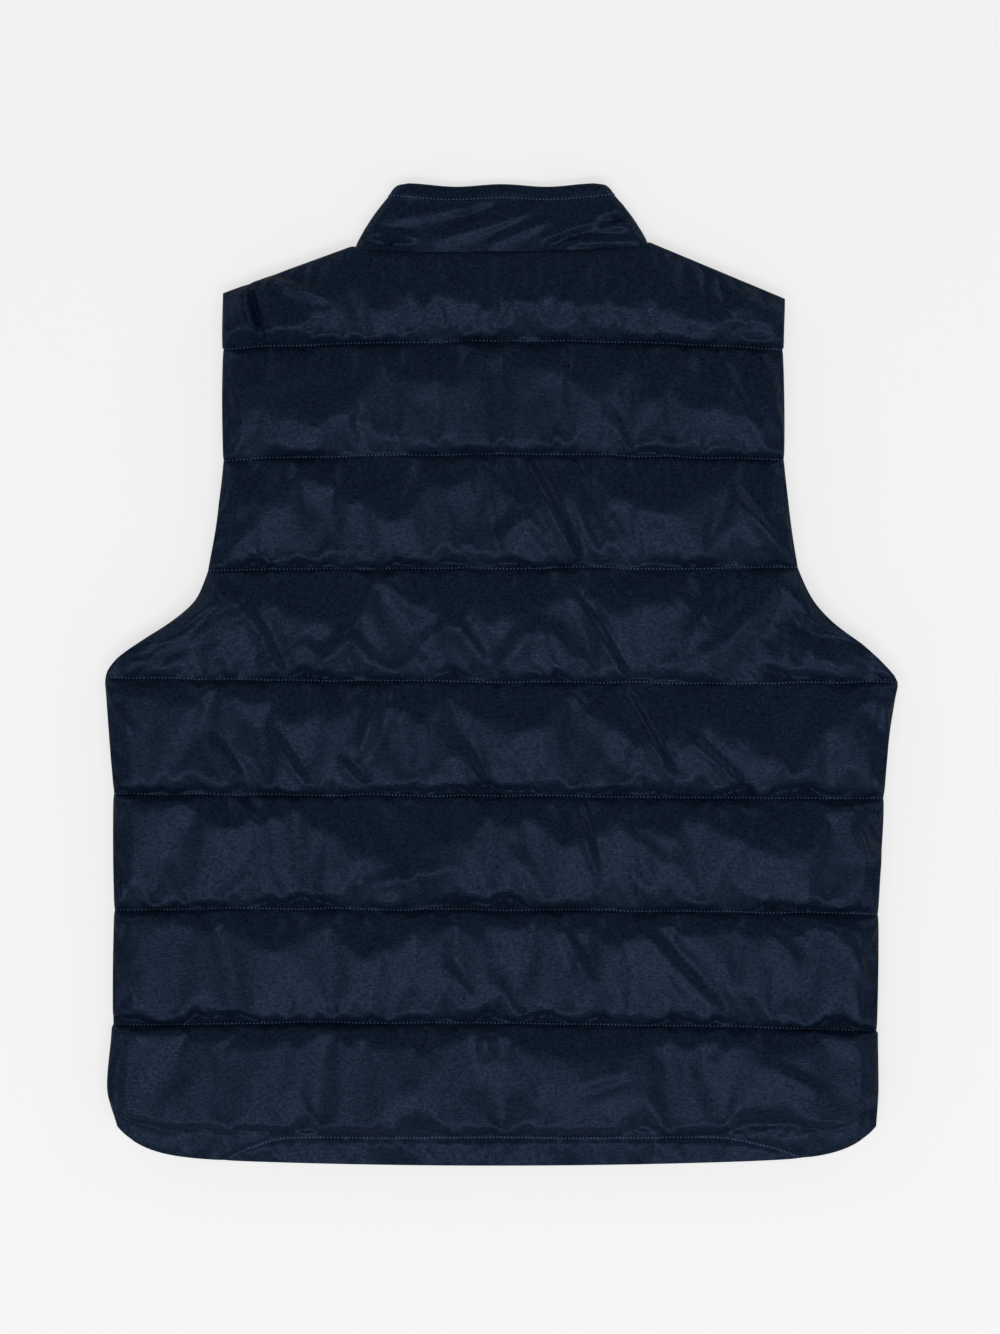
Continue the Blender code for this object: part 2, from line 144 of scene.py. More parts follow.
# Where the padding of each channel is fullest: places across in millimetres, each with its share of the way
# down from the stitch row above. The line peaks where a fold runs down from that row.
CREST_LINES = {
    -1: (
        (-200, 0.75), (-160, 0.85), (-125, 0.62), (-95, 0.75), (-70, 0.66), (-47, 0.52), (-30, 0.70),
        (-5, 0.72), (10, 0.46), (25, 0.64), (45, 0.57), (62, 0.75), (85, 0.64), (105, 0.78), (135, 0.76),
        (155, 0.82), (175, 0.55), (200, 0.60),
    ),
    0: (
        (-200, 0.50), (-180, 0.62), (-150, 0.72), (-125, 0.78), (-108, 0.55), (-92, 0.36), (-72, 0.36),
        (-45, 0.46), (-30, 0.42), (-17, 0.12), (-6, 0.22), (12, 0.28), (48, 0.34), (58, 0.58), (68, 0.62),
        (85, 0.45), (105, 0.58), (145, 0.62), (170, 0.74), (200, 0.85),
    ),
    1: (
        (-210, 0.50), (-190, 0.45), (-176, 0.75), (-160, 0.50), (-142, 0.23), (-125, 0.31), (-108, 0.45),
        (-86, 0.72), (-74, 0.68), (-60, 0.38), (-50, 0.26), (-38, 0.34), (-28, 0.42), (-18, 0.16), (-4, 0.12),
        (2, 0.60), (13, 0.52), (26, 0.64), (36, 0.80), (44, 0.45), (53, 0.12), (64, 0.24), (80, 0.42),
        (92, 0.60), (120, 0.63), (140, 0.52), (153, 0.42), (165, 0.58), (185, 0.78), (210, 0.90),
    ),
    2: (
        (-240, 0.50), (-205, 0.35), (-188, 0.55), (-172, 0.32), (-158, 0.38), (-146, 0.60), (-120, 0.75),
        (-104, 0.56), (-96, 0.26), (-82, 0.16), (-70, 0.24), (-60, 0.52), (-46, 0.62), (-20, 0.50),
        (-9, 0.34), (2, 0.70), (14, 0.56), (34, 0.52), (50, 0.13), (64, 0.34), (78, 0.55), (98, 0.46),
        (116, 0.27), (130, 0.38), (144, 0.42), (152, 0.66), (168, 0.48), (184, 0.24), (205, 0.20),
        (240, 0.40),
    ),
    3: (
        (-280, 0.15), (-240, 0.20), (-212, 0.28), (-197, 0.09), (-184, 0.32), (-170, 0.17), (-158, 0.32),
        (-136, 0.45), (-122, 0.33), (-106, 0.42), (-98, 0.24), (-86, 0.08), (-72, 0.55), (-62, 0.42),
        (-46, 0.33), (-33, 0.14), (-22, 0.48), (-4, 0.36), (8, 0.48), (20, 0.68), (32, 0.50), (50, 0.11),
        (62, 0.32), (78, 0.56), (98, 0.72), (114, 0.84), (124, 0.64), (137, 0.50), (152, 0.68), (170, 0.85),
        (186, 0.72), (214, 0.72), (232, 0.52), (248, 0.24), (280, 0.20),
    ),
    4: (
        (-280, 0.15), (-250, 0.12), (-222, 0.10), (-206, 0.22), (-194, 0.46), (-180, 0.38), (-170, 0.26),
        (-154, 0.28), (-140, 0.17), (-128, 0.42), (-116, 0.52), (-110, 0.40), (-102, 0.76), (-92, 0.86),
        (-64, 0.86), (-50, 0.68), (-37, 0.50), (-26, 0.50), (-17, 0.22), (-6, 0.34), (4, 0.20), (20, 0.33),
        (32, 0.29), (44, 0.50), (50, 0.60), (62, 0.62), (70, 0.40), (78, 0.18), (96, 0.30),
        (114, 0.46), (130, 0.29), (152, 0.32), (178, 0.50), (200, 0.62), (214, 0.50), (236, 0.20),
        (252, 0.10), (280, 0.20),
    ),
    5: (
        (-280, 0.15), (-236, 0.14), (-212, 0.20), (-198, 0.30), (-184, 0.27), (-162, 0.48), (-146, 0.36),
        (-122, 0.20), (-106, 0.32), (-94, 0.53), (-80, 0.58), (-70, 0.38), (-54, 0.22), (-43, 0.11),
        (-33, 0.33), (-20, 0.15), (0, 0.12), (26, 0.24), (38, 0.06), (52, 0.26), (70, 0.22), (84, 0.34),
        (92, 0.42), (102, 0.14), (128, 0.25), (170, 0.20), (204, 0.28), (240, 0.18), (280, 0.15),
    ),
    6: (
        (-280, 0.12), (-226, 0.10), (-190, 0.26), (-154, 0.26), (-122, 0.16), (-104, 0.20), (-60, 0.30),
        (-24, 0.20), (-10, 0.14), (2, 0.20), (36, 0.32), (86, 0.36), (109, 0.22), (146, 0.22), (176, 0.28),
        (214, 0.18), (280, 0.12),
    ),
}
CREST_ROUNDING = (3.0, 28.0)
LOWER_ROUNDING = 1.9
CREST_LEAD = 0.03
CREST_LEAN = 0.38
CREST_LEAN_FROM = 0.3
CREST_WAVER = 0.03
CREST_RANGE = (0.08, 0.86)
CREST_SAMPLES = (-1.0, -0.5, 0.0, 0.5, 1.0)

# Chance swells: the size of one in millimetres, and its seed. The steps set channels and seams apart.
NOISE_CELLS = 128
CREST_NOISE = (11.0, 4)
POCKET_NOISE = (20.0, 5)
SWELL_NOISE = (75.0, 6)
DROP_NOISE = (8.0, 7)
LUMP_NOISE = (50.0, 8)
FINE_LUMP_NOISE = (19.0, 9)
PUCKER_NOISE = (8.0, 21)
SEAM_NOISE = (24.0, 22)
HOLLOW_NOISES = ((34.0, 31), (34.0, 32), (11.0, 33))
CHANNEL_STEP = 200
SEAM_STEP = 300

# Small gathers that the stitches draw up beside each row: heights and distances in millimetres.
PUCKER = 0.85
PUCKER_PLACE = 4.0
PUCKER_REACH = 6.0
PUCKER_START = 1.2
PUCKER_DRAW = 0.4
SEAM_WAVE = 0.8

# Hollows above the stitch rows, where the padding stops at a steep lip. Reach and lip are in millimetres.
HOLLOW_REACH = 14.0
HOLLOW_DEPTHS = (0.65, 0.35, 0.4)
HOLLOW_CUSP = 0.3
HOLLOW_SHARES = (0.25, 0.45, 0.65, 0.9, 0.9, 0.9, 0.9)
HOLLOW_LIP = 5.0
HOLLOW_TILT = 0.35

# Creases, listed one by one: from one end to the other, the width of the crease and its height in
# millimetres.
# A ridge has a trough beside it on the left of its direction. All heights share one gain.
CREASE_GAIN = 1.2
CREASE_FADE = 0.6
TROUGH_SHARE = 0.5
TROUGH_PLACE = 1.5
Crease = namedtuple("Crease", "x0 y0 x1 y1 width height")
BACK_CREASES = tuple(Crease(*row) for row in (
    (-182, 284, -167, 228, 2.8, -3.8), (-186, 274, -176, 236, 5, 1.6),
    (-168, 276, -160, 244, 5, 1.6), (-171, 280, -121, 266, 4, 3.6),
    (162, 256, 181, 271, 6, 1.8), (100, 225, 166, 202, 8, 2.0),
    (152, 230, 187, 158, 5, 1.5), (-187, 205, -107, 217, 7, 1.6),
    (12, 160, 58, 70, 6, 4.8), (164, 130, 206, 78, 5, 2.4),
    (-2, 92, 18, 114, 7, 2.0), (18, 114, 36, 90, 6.5, 2.0),
    (-196, 83, -165, 114, 6, 1.5), (50, 58, 89, -6, 4.5, 3.2),
    (-142, 24, -124, 7, 6, 2.0), (-128, 6, -106, 28, 7, 2.0),
    (-107, 29, -92, 2, 6, 2.8), (-60, 20, -28, 37, 8, 2.2),
    (-31, 37, -14, 4, 6, 3.0), (0, 0, 18, 33, 8, 2.4),
    (16, 31, 46, 25, 8, 1.8), (142, 16, 163, 67, 5.5, -3.2),
    (150, 10, 200, 62, 7, 2.8), (-212, 66, -183, 50, 4.5, 2.4),
    (-189, 56, -169, 25, 4.5, 2.8), (-174, 35, -155, -6, 4.5, 3.2),
    (-201, 22, -190, -4, 5, 1.4), (204, 50, 201, -2, 5, 2.8),
    (224, 46, 217, 8, 5, 2.6), (156, 58, 143, 0, 6, 2.0),
    (-82, -8, -104, -64, 6, 3.4), (-206, -44, -184, -80, 4, 2.8),
    (-166, -38, -138, -82, 4, 2.8), (-116, -60, -97, -82, 4, 2.6),
    (-28, -50, -12, -84, 4.5, 2.6), (84, -6, 121, -76, 4.5, 4.4),
    (133, -45, 170, -80, 4, 3.6), (-105, -153, -25, -137, 6, 1.7),
    (-192, -86, -172, -108, 4, 3.0), (52, -88, 66, -140, 4, 3.2),
    (76, -98, 117, -140, 6, 1.8), (160, -90, 206, -118, 6, 1.6),
    (251, -106, 274, -141, 5, 1.8), (38, -170, 66, -226, 5, 2.2),
    (90, -172, 160, -246, 5, 2.0), (-40, -206, -20, -233, 4, 1.4),
    (-106, -170, -84, -196, 5, 1.5), (183, -171, 211, -208, 5, 1.4),
    (224, -169, 247, -196, 5, 1.3), (-13, -250, -10, -276, 6, 2.2),
    (150, -254, 202, -272, 5, 1.4), (190, -279, 228, -298, 5, 1.3),
    (54, -300, 93, -288, 4, -1.2), (255, -33, 272, -58, 3.5, 1.6),
    (248, -92, 266, -138, 4, 2.6), (-276, -16, -264, -42, 3.5, 1.6),
    (-276, -54, -266, -82, 3.5, 1.5), (-275, -196, -262, -232, 3.5, 1.4),
    (246, -190, 264, -226, 3.5, 1.5), (-12, -328, -12, -350, 4, 1.0),
    (99, -328, 99, -350, 4, 1.0),
))
COLLAR_CREASES = tuple(Crease(*row) for row in (
    (-51, 308, 32, 332, 6.0, 2.6), (-10, 305, 38, 325, 4.0, 2.0),
    (29, 303, 58, 314, 3.5, -3.0), (54, 313, 92, 328, 3.5, -2.6),
    (40, 307, 99, 308, 3.5, 2.4), (56, 318, 96, 320, 3.5, 2.2),
    (76, 334, 99, 313, 4.0, -1.8), (-102, 309, -62, 305, 3.5, -2.4),
    (-92, 311, -58, 311, 3.5, 1.8), (-80, 324, -22, 334, 6.0, 1.8),
    (-70, 341, -30, 336, 4.0, 1.4), (-36, 322, -4, 333, 4.0, -1.6),
))

# How finely the panels are laid out.
BACK_STEPS_A_CHANNEL = 16
HEM_STEPS = 5
BACK_COLUMNS = 140
FRONT_STEPS_A_CHANNEL = 12
FRONT_COLUMNS = 44
EDGE_PLACES = (0.0, 1.5, 4.0, 7.5, 12.0)

# The collar band, in millimetres.
COLLAR_THICKNESS = 6.0
COLLAR_FOLD_RADIUS = 4.0
COLLAR_LOWER_Z = 4.0
COLLAR_FOLD_BASE_X = 99.0
COLLAR_FOLD_TOP = (66.5, 348.5)
COLLAR_CORNER_DROP = 4.0
COLLAR_TOP_CREST = 1.0
COLLAR_SAG = 4.0
COLLAR_FRONT_TOP_Y = 292.0
COLLAR_FRONT_PULL = (45.0, 300.0)
COLLAR_GAP = 0.6
COLLAR_NECK_EASE = 1.5
COLLAR_PUFF = 1.2
COLLAR_STITCH_HEIGHT = 0.79
COLLAR_STITCH_RISE = 0.01
COLLAR_STITCH_LIFT = 0.1
COLLAR_TUCK = 2.2
COLLAR_TUCK_RATE = 8
COLLAR_THREAD = 0.7

# The zip, in millimetres.
ZIP_HALF_WIDTH = 7.0
ZIP_TAPE_Z = (4.2, 5.4)
ZIP_CHAIN_Z = (3.0, 6.6)
ZIP_ROWS = 64
ZIP_COLUMNS = 15
ZIP_RIBS = 3
ZIP_RIB = 0.25
ZIP_RIB_SINK = 0.3
TOOTH_OFFSET = 0.8
TOOTH_MARGIN = 1.0

# How the padding of the back is settled.
START_SHARE = 1.15
LUMPS = 1.3
FINE_LUMPS = 0.4
EASE_GAIN = 1.3
SETTLE_FRAMES = 20
SETTLE_PRESSURE = 0.3
SETTLE_EASE = -0.02
SETTLE_EASE_AT_SEAMS = -0.012
SETTLE_BENDING = 0.6
SETTLE_QUALITY = 6
SETTLE_AIR = 3.0
LARGEST_MOVE = 6.0

# The satin. How each set of yarns is drawn out across and down, and the ranges that its noise is spread from.
YARNS_A_METRE = 820.0
ZIP_YARNS_A_METRE = 1500.0
WEFT = (0.4, 1.0)
WARP = (1.0, 0.4)
GRAIN = (1.6, 1.6)
TINTED_YARNS = (0.7, 1.0)
WARP_SHARE = 0.42
STREAK_RANGE = (0.36, 0.64)
TINT_RANGE = (0.38, 0.62)
SHELL_ROUGHNESS = 0.36
COLLAR_ROUGHNESS = 0.35
THREAD_ROUGHNESS = 0.55
ZIP_TAPE_ROUGHNESS = 0.7
ZIP_TEETH_ROUGHNESS = 0.35
DULLER_YARNS = 0.10
GLOSSIER_YARNS = 0.08
BUMP_STRENGTH = 0.3
WEAVE_DEPTH = 0.0003
THREAD_DEPTH = 0.0002
THREAD_TWIST = 3000.0

# Tints of single yarns. A half-grey tint leaves the satin's colour as it is.
TEAL_YARN = (0.20, 0.52, 0.50)
PURPLE_YARN = (0.80, 0.48, 0.50)

# Small shapes that are set along a line: the node that makes one, its inputs and its share of the pitch.
Repeat = namedtuple("Repeat", "kind inputs share")
STITCH_BEAD = Repeat("GeometryNodeMeshUVSphere", {"Segments": 6, "Rings": 4, "Radius": 0.5}, 0.5)
ZIP_TOOTH = Repeat("GeometryNodeMeshCube", {}, 0.6)

# The photograph's height, and the size of one of its pixels on the vest, in millimetres.
FRAME_HEIGHT_PX = 1334
PIXEL_MM = 0.7125
FRAME_CENTRE_MM = (-1.1, 4.6)
CAMERA_LENS_MM = 85.0
CAMERA_SENSOR_MM = 36.0

# The stage. Lights are in metres and watts.
FLOOR_HALF = 20000.0
FLOOR_Z = -0.3
FLOOR_GLOW = 0.655
FLOOR_ROUGHNESS = 0.9
WORLD_LIGHT = 0.10
CORNERS = ((-1, -1), (1, -1), (1, 1), (-1, 1))
Light = namedtuple("Light", "name place aim size power")
LIGHTS = (
    Light("hem softbox", (0.0, -1.36, 3.40), (0.0, -0.10, 0.0), (4.0, 1.5), 9.4),
    Light("hem strip light", (0.0, -1.60, 3.32), (0.0, -0.10, 0.0), (4.0, 0.42), 13.8),
    *(Light("corner fill", (1.8 * x, 1.8 * y, 0.9), (0.0, 0.0, 0.0), (1.8, 0.9), 3.4) for x, y in CORNERS),
)


def length_property(name, description, default):
    return bpy.props.FloatProperty(name=name, description=description, default=default, unit="LENGTH")


def colour_property(name, description, default):
    return bpy.props.FloatVectorProperty(name=name, description=description, default=default, subtype="COLOR")


class VestSizes(bpy.types.PropertyGroup):
    """Sizes of the vest that a maker would change."""

    first_stitch: length_property("First stitch row", "Its height at the centre back", 0.237)
    stitch_pitch: length_property("Row pitch", "From one stitch row to the next", 0.081)
    crown: length_property("Padding", "Thickness of the back at its fullest", 0.0125)
    seam: length_property("Seam", "Thickness of a panel on a stitch row", 0.003)
    front_thickness: length_property(
        "Front thickness", "Thickness of the fronts that the back lies on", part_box("front_left")[1][2]
    )
    edge_rounding: length_property("Edge rounding", "How far in a panel's edge rounds off", 0.016)
    stitch_length: length_property("Stitch length", "From needle hole to needle hole", 0.0026)
    thread_width: length_property("Thread width", "Width of the sewing thread", 0.0013)
    tooth_pitch: length_property("Tooth pitch", "From one zip tooth to the next", 0.0025)


class VestColours(bpy.types.PropertyGroup):
    """Colours of the vest and its stage."""

    satin: colour_property("Satin", "Colour of the shell", (0.0016, 0.0058, 0.0175))
    satin_light: colour_property("Satin slubs", "Colour of the paler yarns", (0.0230, 0.0450, 0.0970))
    sheen: colour_property("Satin sheen", "Tint of the satin's highlights", (0.385, 0.60, 1.0))
    thread: colour_property("Thread", "Colour of the stitches", (0.15, 0.27, 0.47))
    zip_tape: colour_property("Zip", "Colour of the zip's tape and teeth", (0.008, 0.013, 0.026))
    floor: colour_property("Floor", "Colour of the studio floor", (0.86, 0.86, 0.86))


def sizes():
    return bpy.context.scene.vest_sizes


def colours():
    return bpy.context.scene.vest_colours


def blend(a, b, share):
    """The value at that share of the way from a to b."""
    return a + (b - a) * share


def eased(share):
    """A share that sets out and arrives gently."""
    return share * share * (3 - 2 * share)


def bell(distance):
    """A smooth bump that is 1 at no distance and fades out on both sides."""
    return np.exp(-(distance**2))


# Sections of the panels

def edge_value(column, row):
    """A column of SIDE_EDGES at any row, on a smooth curve with no overshoot."""
    rows = np.array([edge.row for edge in SIDE_EDGES])
    values = np.array([getattr(edge, column) for edge in SIDE_EDGES])
    steps = np.diff(rows)
    slopes = np.diff(values) / steps
    same_way = slopes[:-1] * slopes[1:] > 0
    mean = 2.0 * slopes[:-1] * slopes[1:] / np.where(same_way, slopes[:-1] + slopes[1:], 1.0)
    tangents = np.concatenate(([slopes[0]], np.where(same_way, mean, 0.0), [slopes[-1]]))
    i = int(np.clip(np.searchsorted(rows, row, side="right") - 1, 0, len(steps) - 1))
    t = (row - rows[i]) / steps[i]
    start = (1 + 2 * t) * (1 - t) ** 2 * values[i] + t * (1 - t) ** 2 * steps[i] * tangents[i]
    end = t**2 * (3 - 2 * t) * values[i + 1] - t**2 * (1 - t) * steps[i] * tangents[i + 1]
    return start + end


def neck_share(x):
    return np.clip((x - NECK_POINT_LEFT[0]) / (NECK_POINT_RIGHT[0] - NECK_POINT_LEFT[0]), 0.0, 1.0)


def shoulder_line(x):
    """The height of both shoulders and of a straight line between the neck points."""
    ends = (SHOULDER_TIP_LEFT, NECK_POINT_LEFT, NECK_POINT_RIGHT, SHOULDER_TIP_RIGHT)
    return np.interp(x, [end[0] for end in ends], [end[1] for end in ends])


def back_neck_line(x):
    return shoulder_line(x) - BACK_NECK_DIP * (1 - (2 * neck_share(x) - 1) ** 4)


def front_neck_line(x):
    return shoulder_line(x) - FRONT_NECK_DROP * np.sqrt(1 - (2 * neck_share(x) - 1) ** 2)


def hem_line(u):
    return HEM_Y + HEM_RISE * u**2 + HEM_CORNER * np.abs(u) ** HEM_CORNER_POWER


def stitch_line(u, row):
    """The height of a section between the first and the last stitch row: a chord with a slight bow."""
    left, right = edge_value("left_y", row), edge_value("right_y", row)
    middle = (sizes().first_stitch - sizes().stitch_pitch * row) / MM
    return blend(left, right, (u + 1) / 2) + (middle - (left + right) / 2) * (1 - u**2)


def channel_of(row):
    """The stitch row above this place, and the share of the way down that channel."""
    if row >= HEM_STITCH:
        return HEM_STITCH, (row - HEM_STITCH) / (HEM_EDGE - HEM_STITCH)
    start = min(math.floor(row), LAST_STITCH)
    end = HEM_STITCH if start == LAST_STITCH else start + 1
    return start, (row - start) / (end - start)


def padding(row):
    """The share of its full padding that a channel has here: none on a stitch row, all at its middle."""
    start, share = channel_of(row)
    most = HEM_PADDING if start == HEM_STITCH else 1.0
    return most * max(0.0, math.sin(math.pi * min(share, 1.0))) ** PUFF_POWER


def side_edges(row):
    """Where a section ends at the left and right, drawn in a little at each stitch row."""
    drawn_in = STITCH_NOTCH * (1 - padding(row)) if 0 <= row <= LAST_STITCH else 0.0
    return edge_value("left_x", row) + drawn_in, edge_value("right_x", row) - drawn_in


def section_heights(x, row, top_line, hem_lift=0.0):
    """The heights of a section at the places x across it, from the neck line to the hem."""
    left, right = side_edges(row)
    u = 2 * (x - left) / (right - left) - 1
    if row < 0:
        return blend(stitch_line(u, 0), top_line(x), -row)
    if row <= LAST_STITCH:
        return stitch_line(u, row)
    return blend(stitch_line(u, LAST_STITCH), hem_line(u) + hem_lift, row - LAST_STITCH)


def graded_shares(steps):
    """Shares of the way down a channel, closer together next to its stitch rows."""
    even = np.arange(steps) / steps
    return blend(even, (1 - np.cos(math.pi * even)) / 2, 0.5).tolist()


def section_rows(steps, hem_steps):
    """Every row that has a section, with the same number of steps in each channel."""
    rows = [start + share for start in range(NECK_LINE, LAST_STITCH) for share in graded_shares(steps)]
    rows += [blend(LAST_STITCH, HEM_STITCH, share) for share in graded_shares(steps)]
    return rows + [blend(HEM_STITCH, HEM_EDGE, i / hem_steps) for i in range(hem_steps + 1)]


def places_across(left, right, count):
    """Places across a section: close together where its edges round off, even between them."""
    inner = EDGE_PLACES[-1]
    even = np.linspace(left + inner, right - inner, count)[1:-1]
    return np.concatenate(([left + p for p in EDGE_PLACES], even, [right - p for p in EDGE_PLACES[::-1]]))


def edge_padding(distance):
    """The share of the padding that is left at this distance from a panel's edge, in millimetres."""
    inward = 1 - np.minimum(distance / (sizes().edge_rounding / MM), 1.0)
    return EDGE_SHARE + (1 - EDGE_SHARE) * np.sqrt(1 - inward**2)


def unevenness(x, y, size, seed):
    """Smooth chance values from -1 to 1, with that many millimetres from one swell to the next."""
    values = np.random.default_rng(seed).uniform(-1.0, 1.0, (NOISE_CELLS, NOISE_CELLS))
    u, v = (np.asarray(place) / size + NOISE_CELLS // 2 for place in (x, y))
    u, v = np.broadcast_arrays(u, v)
    i, j = (np.floor(place).astype(int) % (NOISE_CELLS - 1) for place in (u, v))
    s, t = u - np.floor(u), v - np.floor(v)
    low = blend(values[i, j], values[i + 1, j], eased(s))
    high = blend(values[i, j + 1], values[i + 1, j + 1], eased(s))
    return blend(low, high, eased(t))


def channel_noise(x, start, noise):
    """Chance values of the channel below a stitch row."""
    return unevenness(x, CHANNEL_STEP * start, *noise)


def down_the_back(start):
    """The share of the way from the neck's channel to the lowest one."""
    return (start - NECK_LINE) / (LAST_STITCH - NECK_LINE)


def crest_share(x, row):
    """How far down its channel the padding is fullest. Its peaks lean to the right and fade downwards."""
    start, share = channel_of(row)
    places, shares = zip(*CREST_LINES[start])
    width = blend(*CREST_ROUNDING, share) * blend(1.0, LOWER_ROUNDING, down_the_back(start))
    leaning = x - CREST_LEAN * (share - CREST_LEAN_FROM) * sizes().stitch_pitch / MM
    rounded = [np.interp(leaning + width * away, places, shares) for away in CREST_SAMPLES]
    crest = sum(rounded) / len(rounded) - CREST_LEAD + CREST_WAVER * channel_noise(x, start, CREST_NOISE)
    return np.clip(crest, *CREST_RANGE)


def fullness(x, row):
    """The share of the full padding at the places x of a section.

    It rises from the upper stitch row to the crest, falls gently below it and drops steeply to the lower row.
    """
    start, share = channel_of(row)
    if start == HEM_STITCH:
        return np.full_like(x, HEM_FULLNESS * math.sqrt(1 - HEM_FADE * min(share, 1.0) ** 2))
    crest = crest_share(x, row)
    to_lower_row = (1 - share) * sizes().stitch_pitch / MM
    pocket = np.maximum(0.0, channel_noise(x, start, POCKET_NOISE) + POCKET_BIAS)
    drop_length = SEAM_DROP + POCKET_DROP * pocket + DROP_WAVER * channel_noise(x, start, DROP_NOISE)
    rising = np.sin(0.5 * math.pi * np.minimum(share / crest, 1.0)) ** RISE_POWER
    softness = blend(*CREST_SOFTNESS, down_the_back(start))
    past_crest = softness * np.logaddexp(0.0, (share - crest) / softness)
    fall = blend(*CREST_FALL, down_the_back(start))
    falling = 1 - fall * FALL_FADE * (1 - np.exp(-past_crest / FALL_FADE))
    drop = np.sin(0.5 * math.pi * np.minimum(to_lower_row / drop_length, 1.0)) ** DROP_POWER
    swell = 1 + SWELL * channel_noise(x, start, SWELL_NOISE)
    full = rising * falling * drop * swell * blend(HIGH_CREST, 1.0, crest / CREST_RANGE[1])
    if start == LAST_STITCH:
        full = np.maximum(full, HEM_FULLNESS * min(1.0, HEM_RISE_RATE * share))
    return full


def puckers(x, y, seam_lines):
    """What the stitches draw up beside each seam, as heights at the places x, y."""
    near = np.zeros_like(x)
    for line in seam_lines:
        away = np.abs(y - line)
        near += bell((away - PUCKER_PLACE) / PUCKER_REACH) * (1 - bell(away / PUCKER_START))
    return PUCKER * near * unevenness(x, PUCKER_DRAW * y, *PUCKER_NOISE)


def hollowed(x, y, z, sewn_rows):
    """The heights z with the padding pressed low in uneven hollows just above each stitch row."""
    for i, row_share in zip(sewn_rows, HOLLOW_SHARES):
        above = y - y[i]
        cusps, depths, ragged = (unevenness(x[i], SEAM_STEP * i, *noise) for noise in HOLLOW_NOISES)
        between_cusps = 1 - bell(cusps / HOLLOW_CUSP)
        depth = HOLLOW_DEPTHS[0] + HOLLOW_DEPTHS[1] * depths + HOLLOW_DEPTHS[2] * ragged
        reach = HOLLOW_REACH * row_share * between_cusps * depth
        inside = np.clip((reach - above) / HOLLOW_LIP, 0.0, 1.0) * (above > 0)
        z = blend(z, np.minimum(z, z[i] - HOLLOW_TILT * above), eased(inside))
    return z


def hem_stitch_y(x):
    """The height of the hem's topstitch: straight in the middle, running down to the edge at both ends."""
    past = np.maximum((HEM_STITCH_LEFT[1] - x) / (HEM_STITCH_LEFT[1] - HEM_STITCH_LEFT[0]), 0.0)
    past = past + np.maximum((x - HEM_STITCH_RIGHT[0]) / (HEM_STITCH_RIGHT[1] - HEM_STITCH_RIGHT[0]), 0.0)
    return HEM_STITCH_Y - HEM_STITCH_FALL * past**2


def crease_height(x, y, creases):
    """What the creases add at the places x, y: each a ridge that fades out at its ends, or a trough."""
    height = np.zeros(np.broadcast(x, y).shape)
    for crease in creases:
        along = np.array((crease.x1 - crease.x0, crease.y1 - crease.y0), float)
        length = np.hypot(*along)
        along /= length
        dx, dy = x - crease.x0, y - crease.y0
        share = (dx * along[0] + dy * along[1]) / length
        side = (dy * along[0] - dx * along[1]) / crease.width
        fade = np.sin(math.pi * np.clip(share, 0.0, 1.0)) ** CREASE_FADE
        shape = bell(side) - TROUGH_SHARE * bell(side - TROUGH_PLACE)
        height += CREASE_GAIN * crease.height * fade * shape
    return height


# Meshes

def zipped_triangles(first, second):
    """Triangles between two lines of points with different counts, each a list of point numbers."""
    triangles = []
    i = j = 0
    while i < len(first) - 1 or j < len(second) - 1:
        first_next = (i + 1) / max(len(first) - 1, 1)
        second_next = (j + 1) / max(len(second) - 1, 1)
        if j == len(second) - 1 or (i < len(first) - 1 and first_next <= second_next):
            triangles.append((first[i], second[j], first[i + 1]))
            i += 1
        else:
            triangles.append((first[i], second[j], second[j + 1]))
            j += 1
    return triangles


def grid_faces(rows, columns):
    """Quads of a grid whose rows run down and whose columns run to the right."""
    number = np.arange(rows * columns).reshape(rows, columns)
    corners = (number[:-1, :-1], number[1:, :-1], number[1:, 1:], number[:-1, 1:])
    return [tuple(face) for face in np.stack(corners, axis=-1).reshape(-1, 4).tolist()]


def panel_mesh(outer, inside_z):
    """A closed wall: a grid of outer points, and a plain inside below or above it at one height."""
    rows, columns = outer.shape[:2]
    points = [tuple(p) for p in outer.reshape(-1, 3).tolist()]
    faces = grid_faces(rows, columns)
    rim = [(0, c) for c in range(columns)] + [(r, columns - 1) for r in range(1, rows)]
    rim += [(rows - 1, c) for c in range(columns - 2, -1, -1)] + [(r, 0) for r in range(rows - 2, 0, -1)]
    inside = {}
    for r, c in rim:
        inside[r, c] = len(points)
        points.append((float(outer[r, c, 0]), float(outer[r, c, 1]), inside_z))
    for here, there in zip(rim, rim[1:] + rim[:1]):
        outer_edge = (here[0] * columns + here[1], there[0] * columns + there[1])
        faces.append((*outer_edge, inside[there], inside[here]))
    for r in range(rows - 1):
        lines = []
        for row in (r, r + 1):
            across = range(columns) if row in (0, rows - 1) else (0, columns - 1)
            lines.append([inside[row, c] for c in across])
        faces += [triangle[::-1] for triangle in zipped_triangles(*lines)]
    if outer[:, :, 2].mean() < inside_z:
        faces = [face[::-1] for face in faces]
    return points, faces


def finer(lines):
    """The lines with one more between each two, on a smooth curve through their neighbours."""
    before = np.concatenate((2 * lines[:1] - lines[1:2], lines[:-2]))
    after = np.concatenate((lines[2:], 2 * lines[-1:] - lines[-2:-1]))
    fine = np.empty((2 * len(lines) - 1, *lines.shape[1:]))
    fine[0::2] = lines
    fine[1::2] = (9 * (lines[:-1] + lines[1:]) - before - after) / 16
    return fine


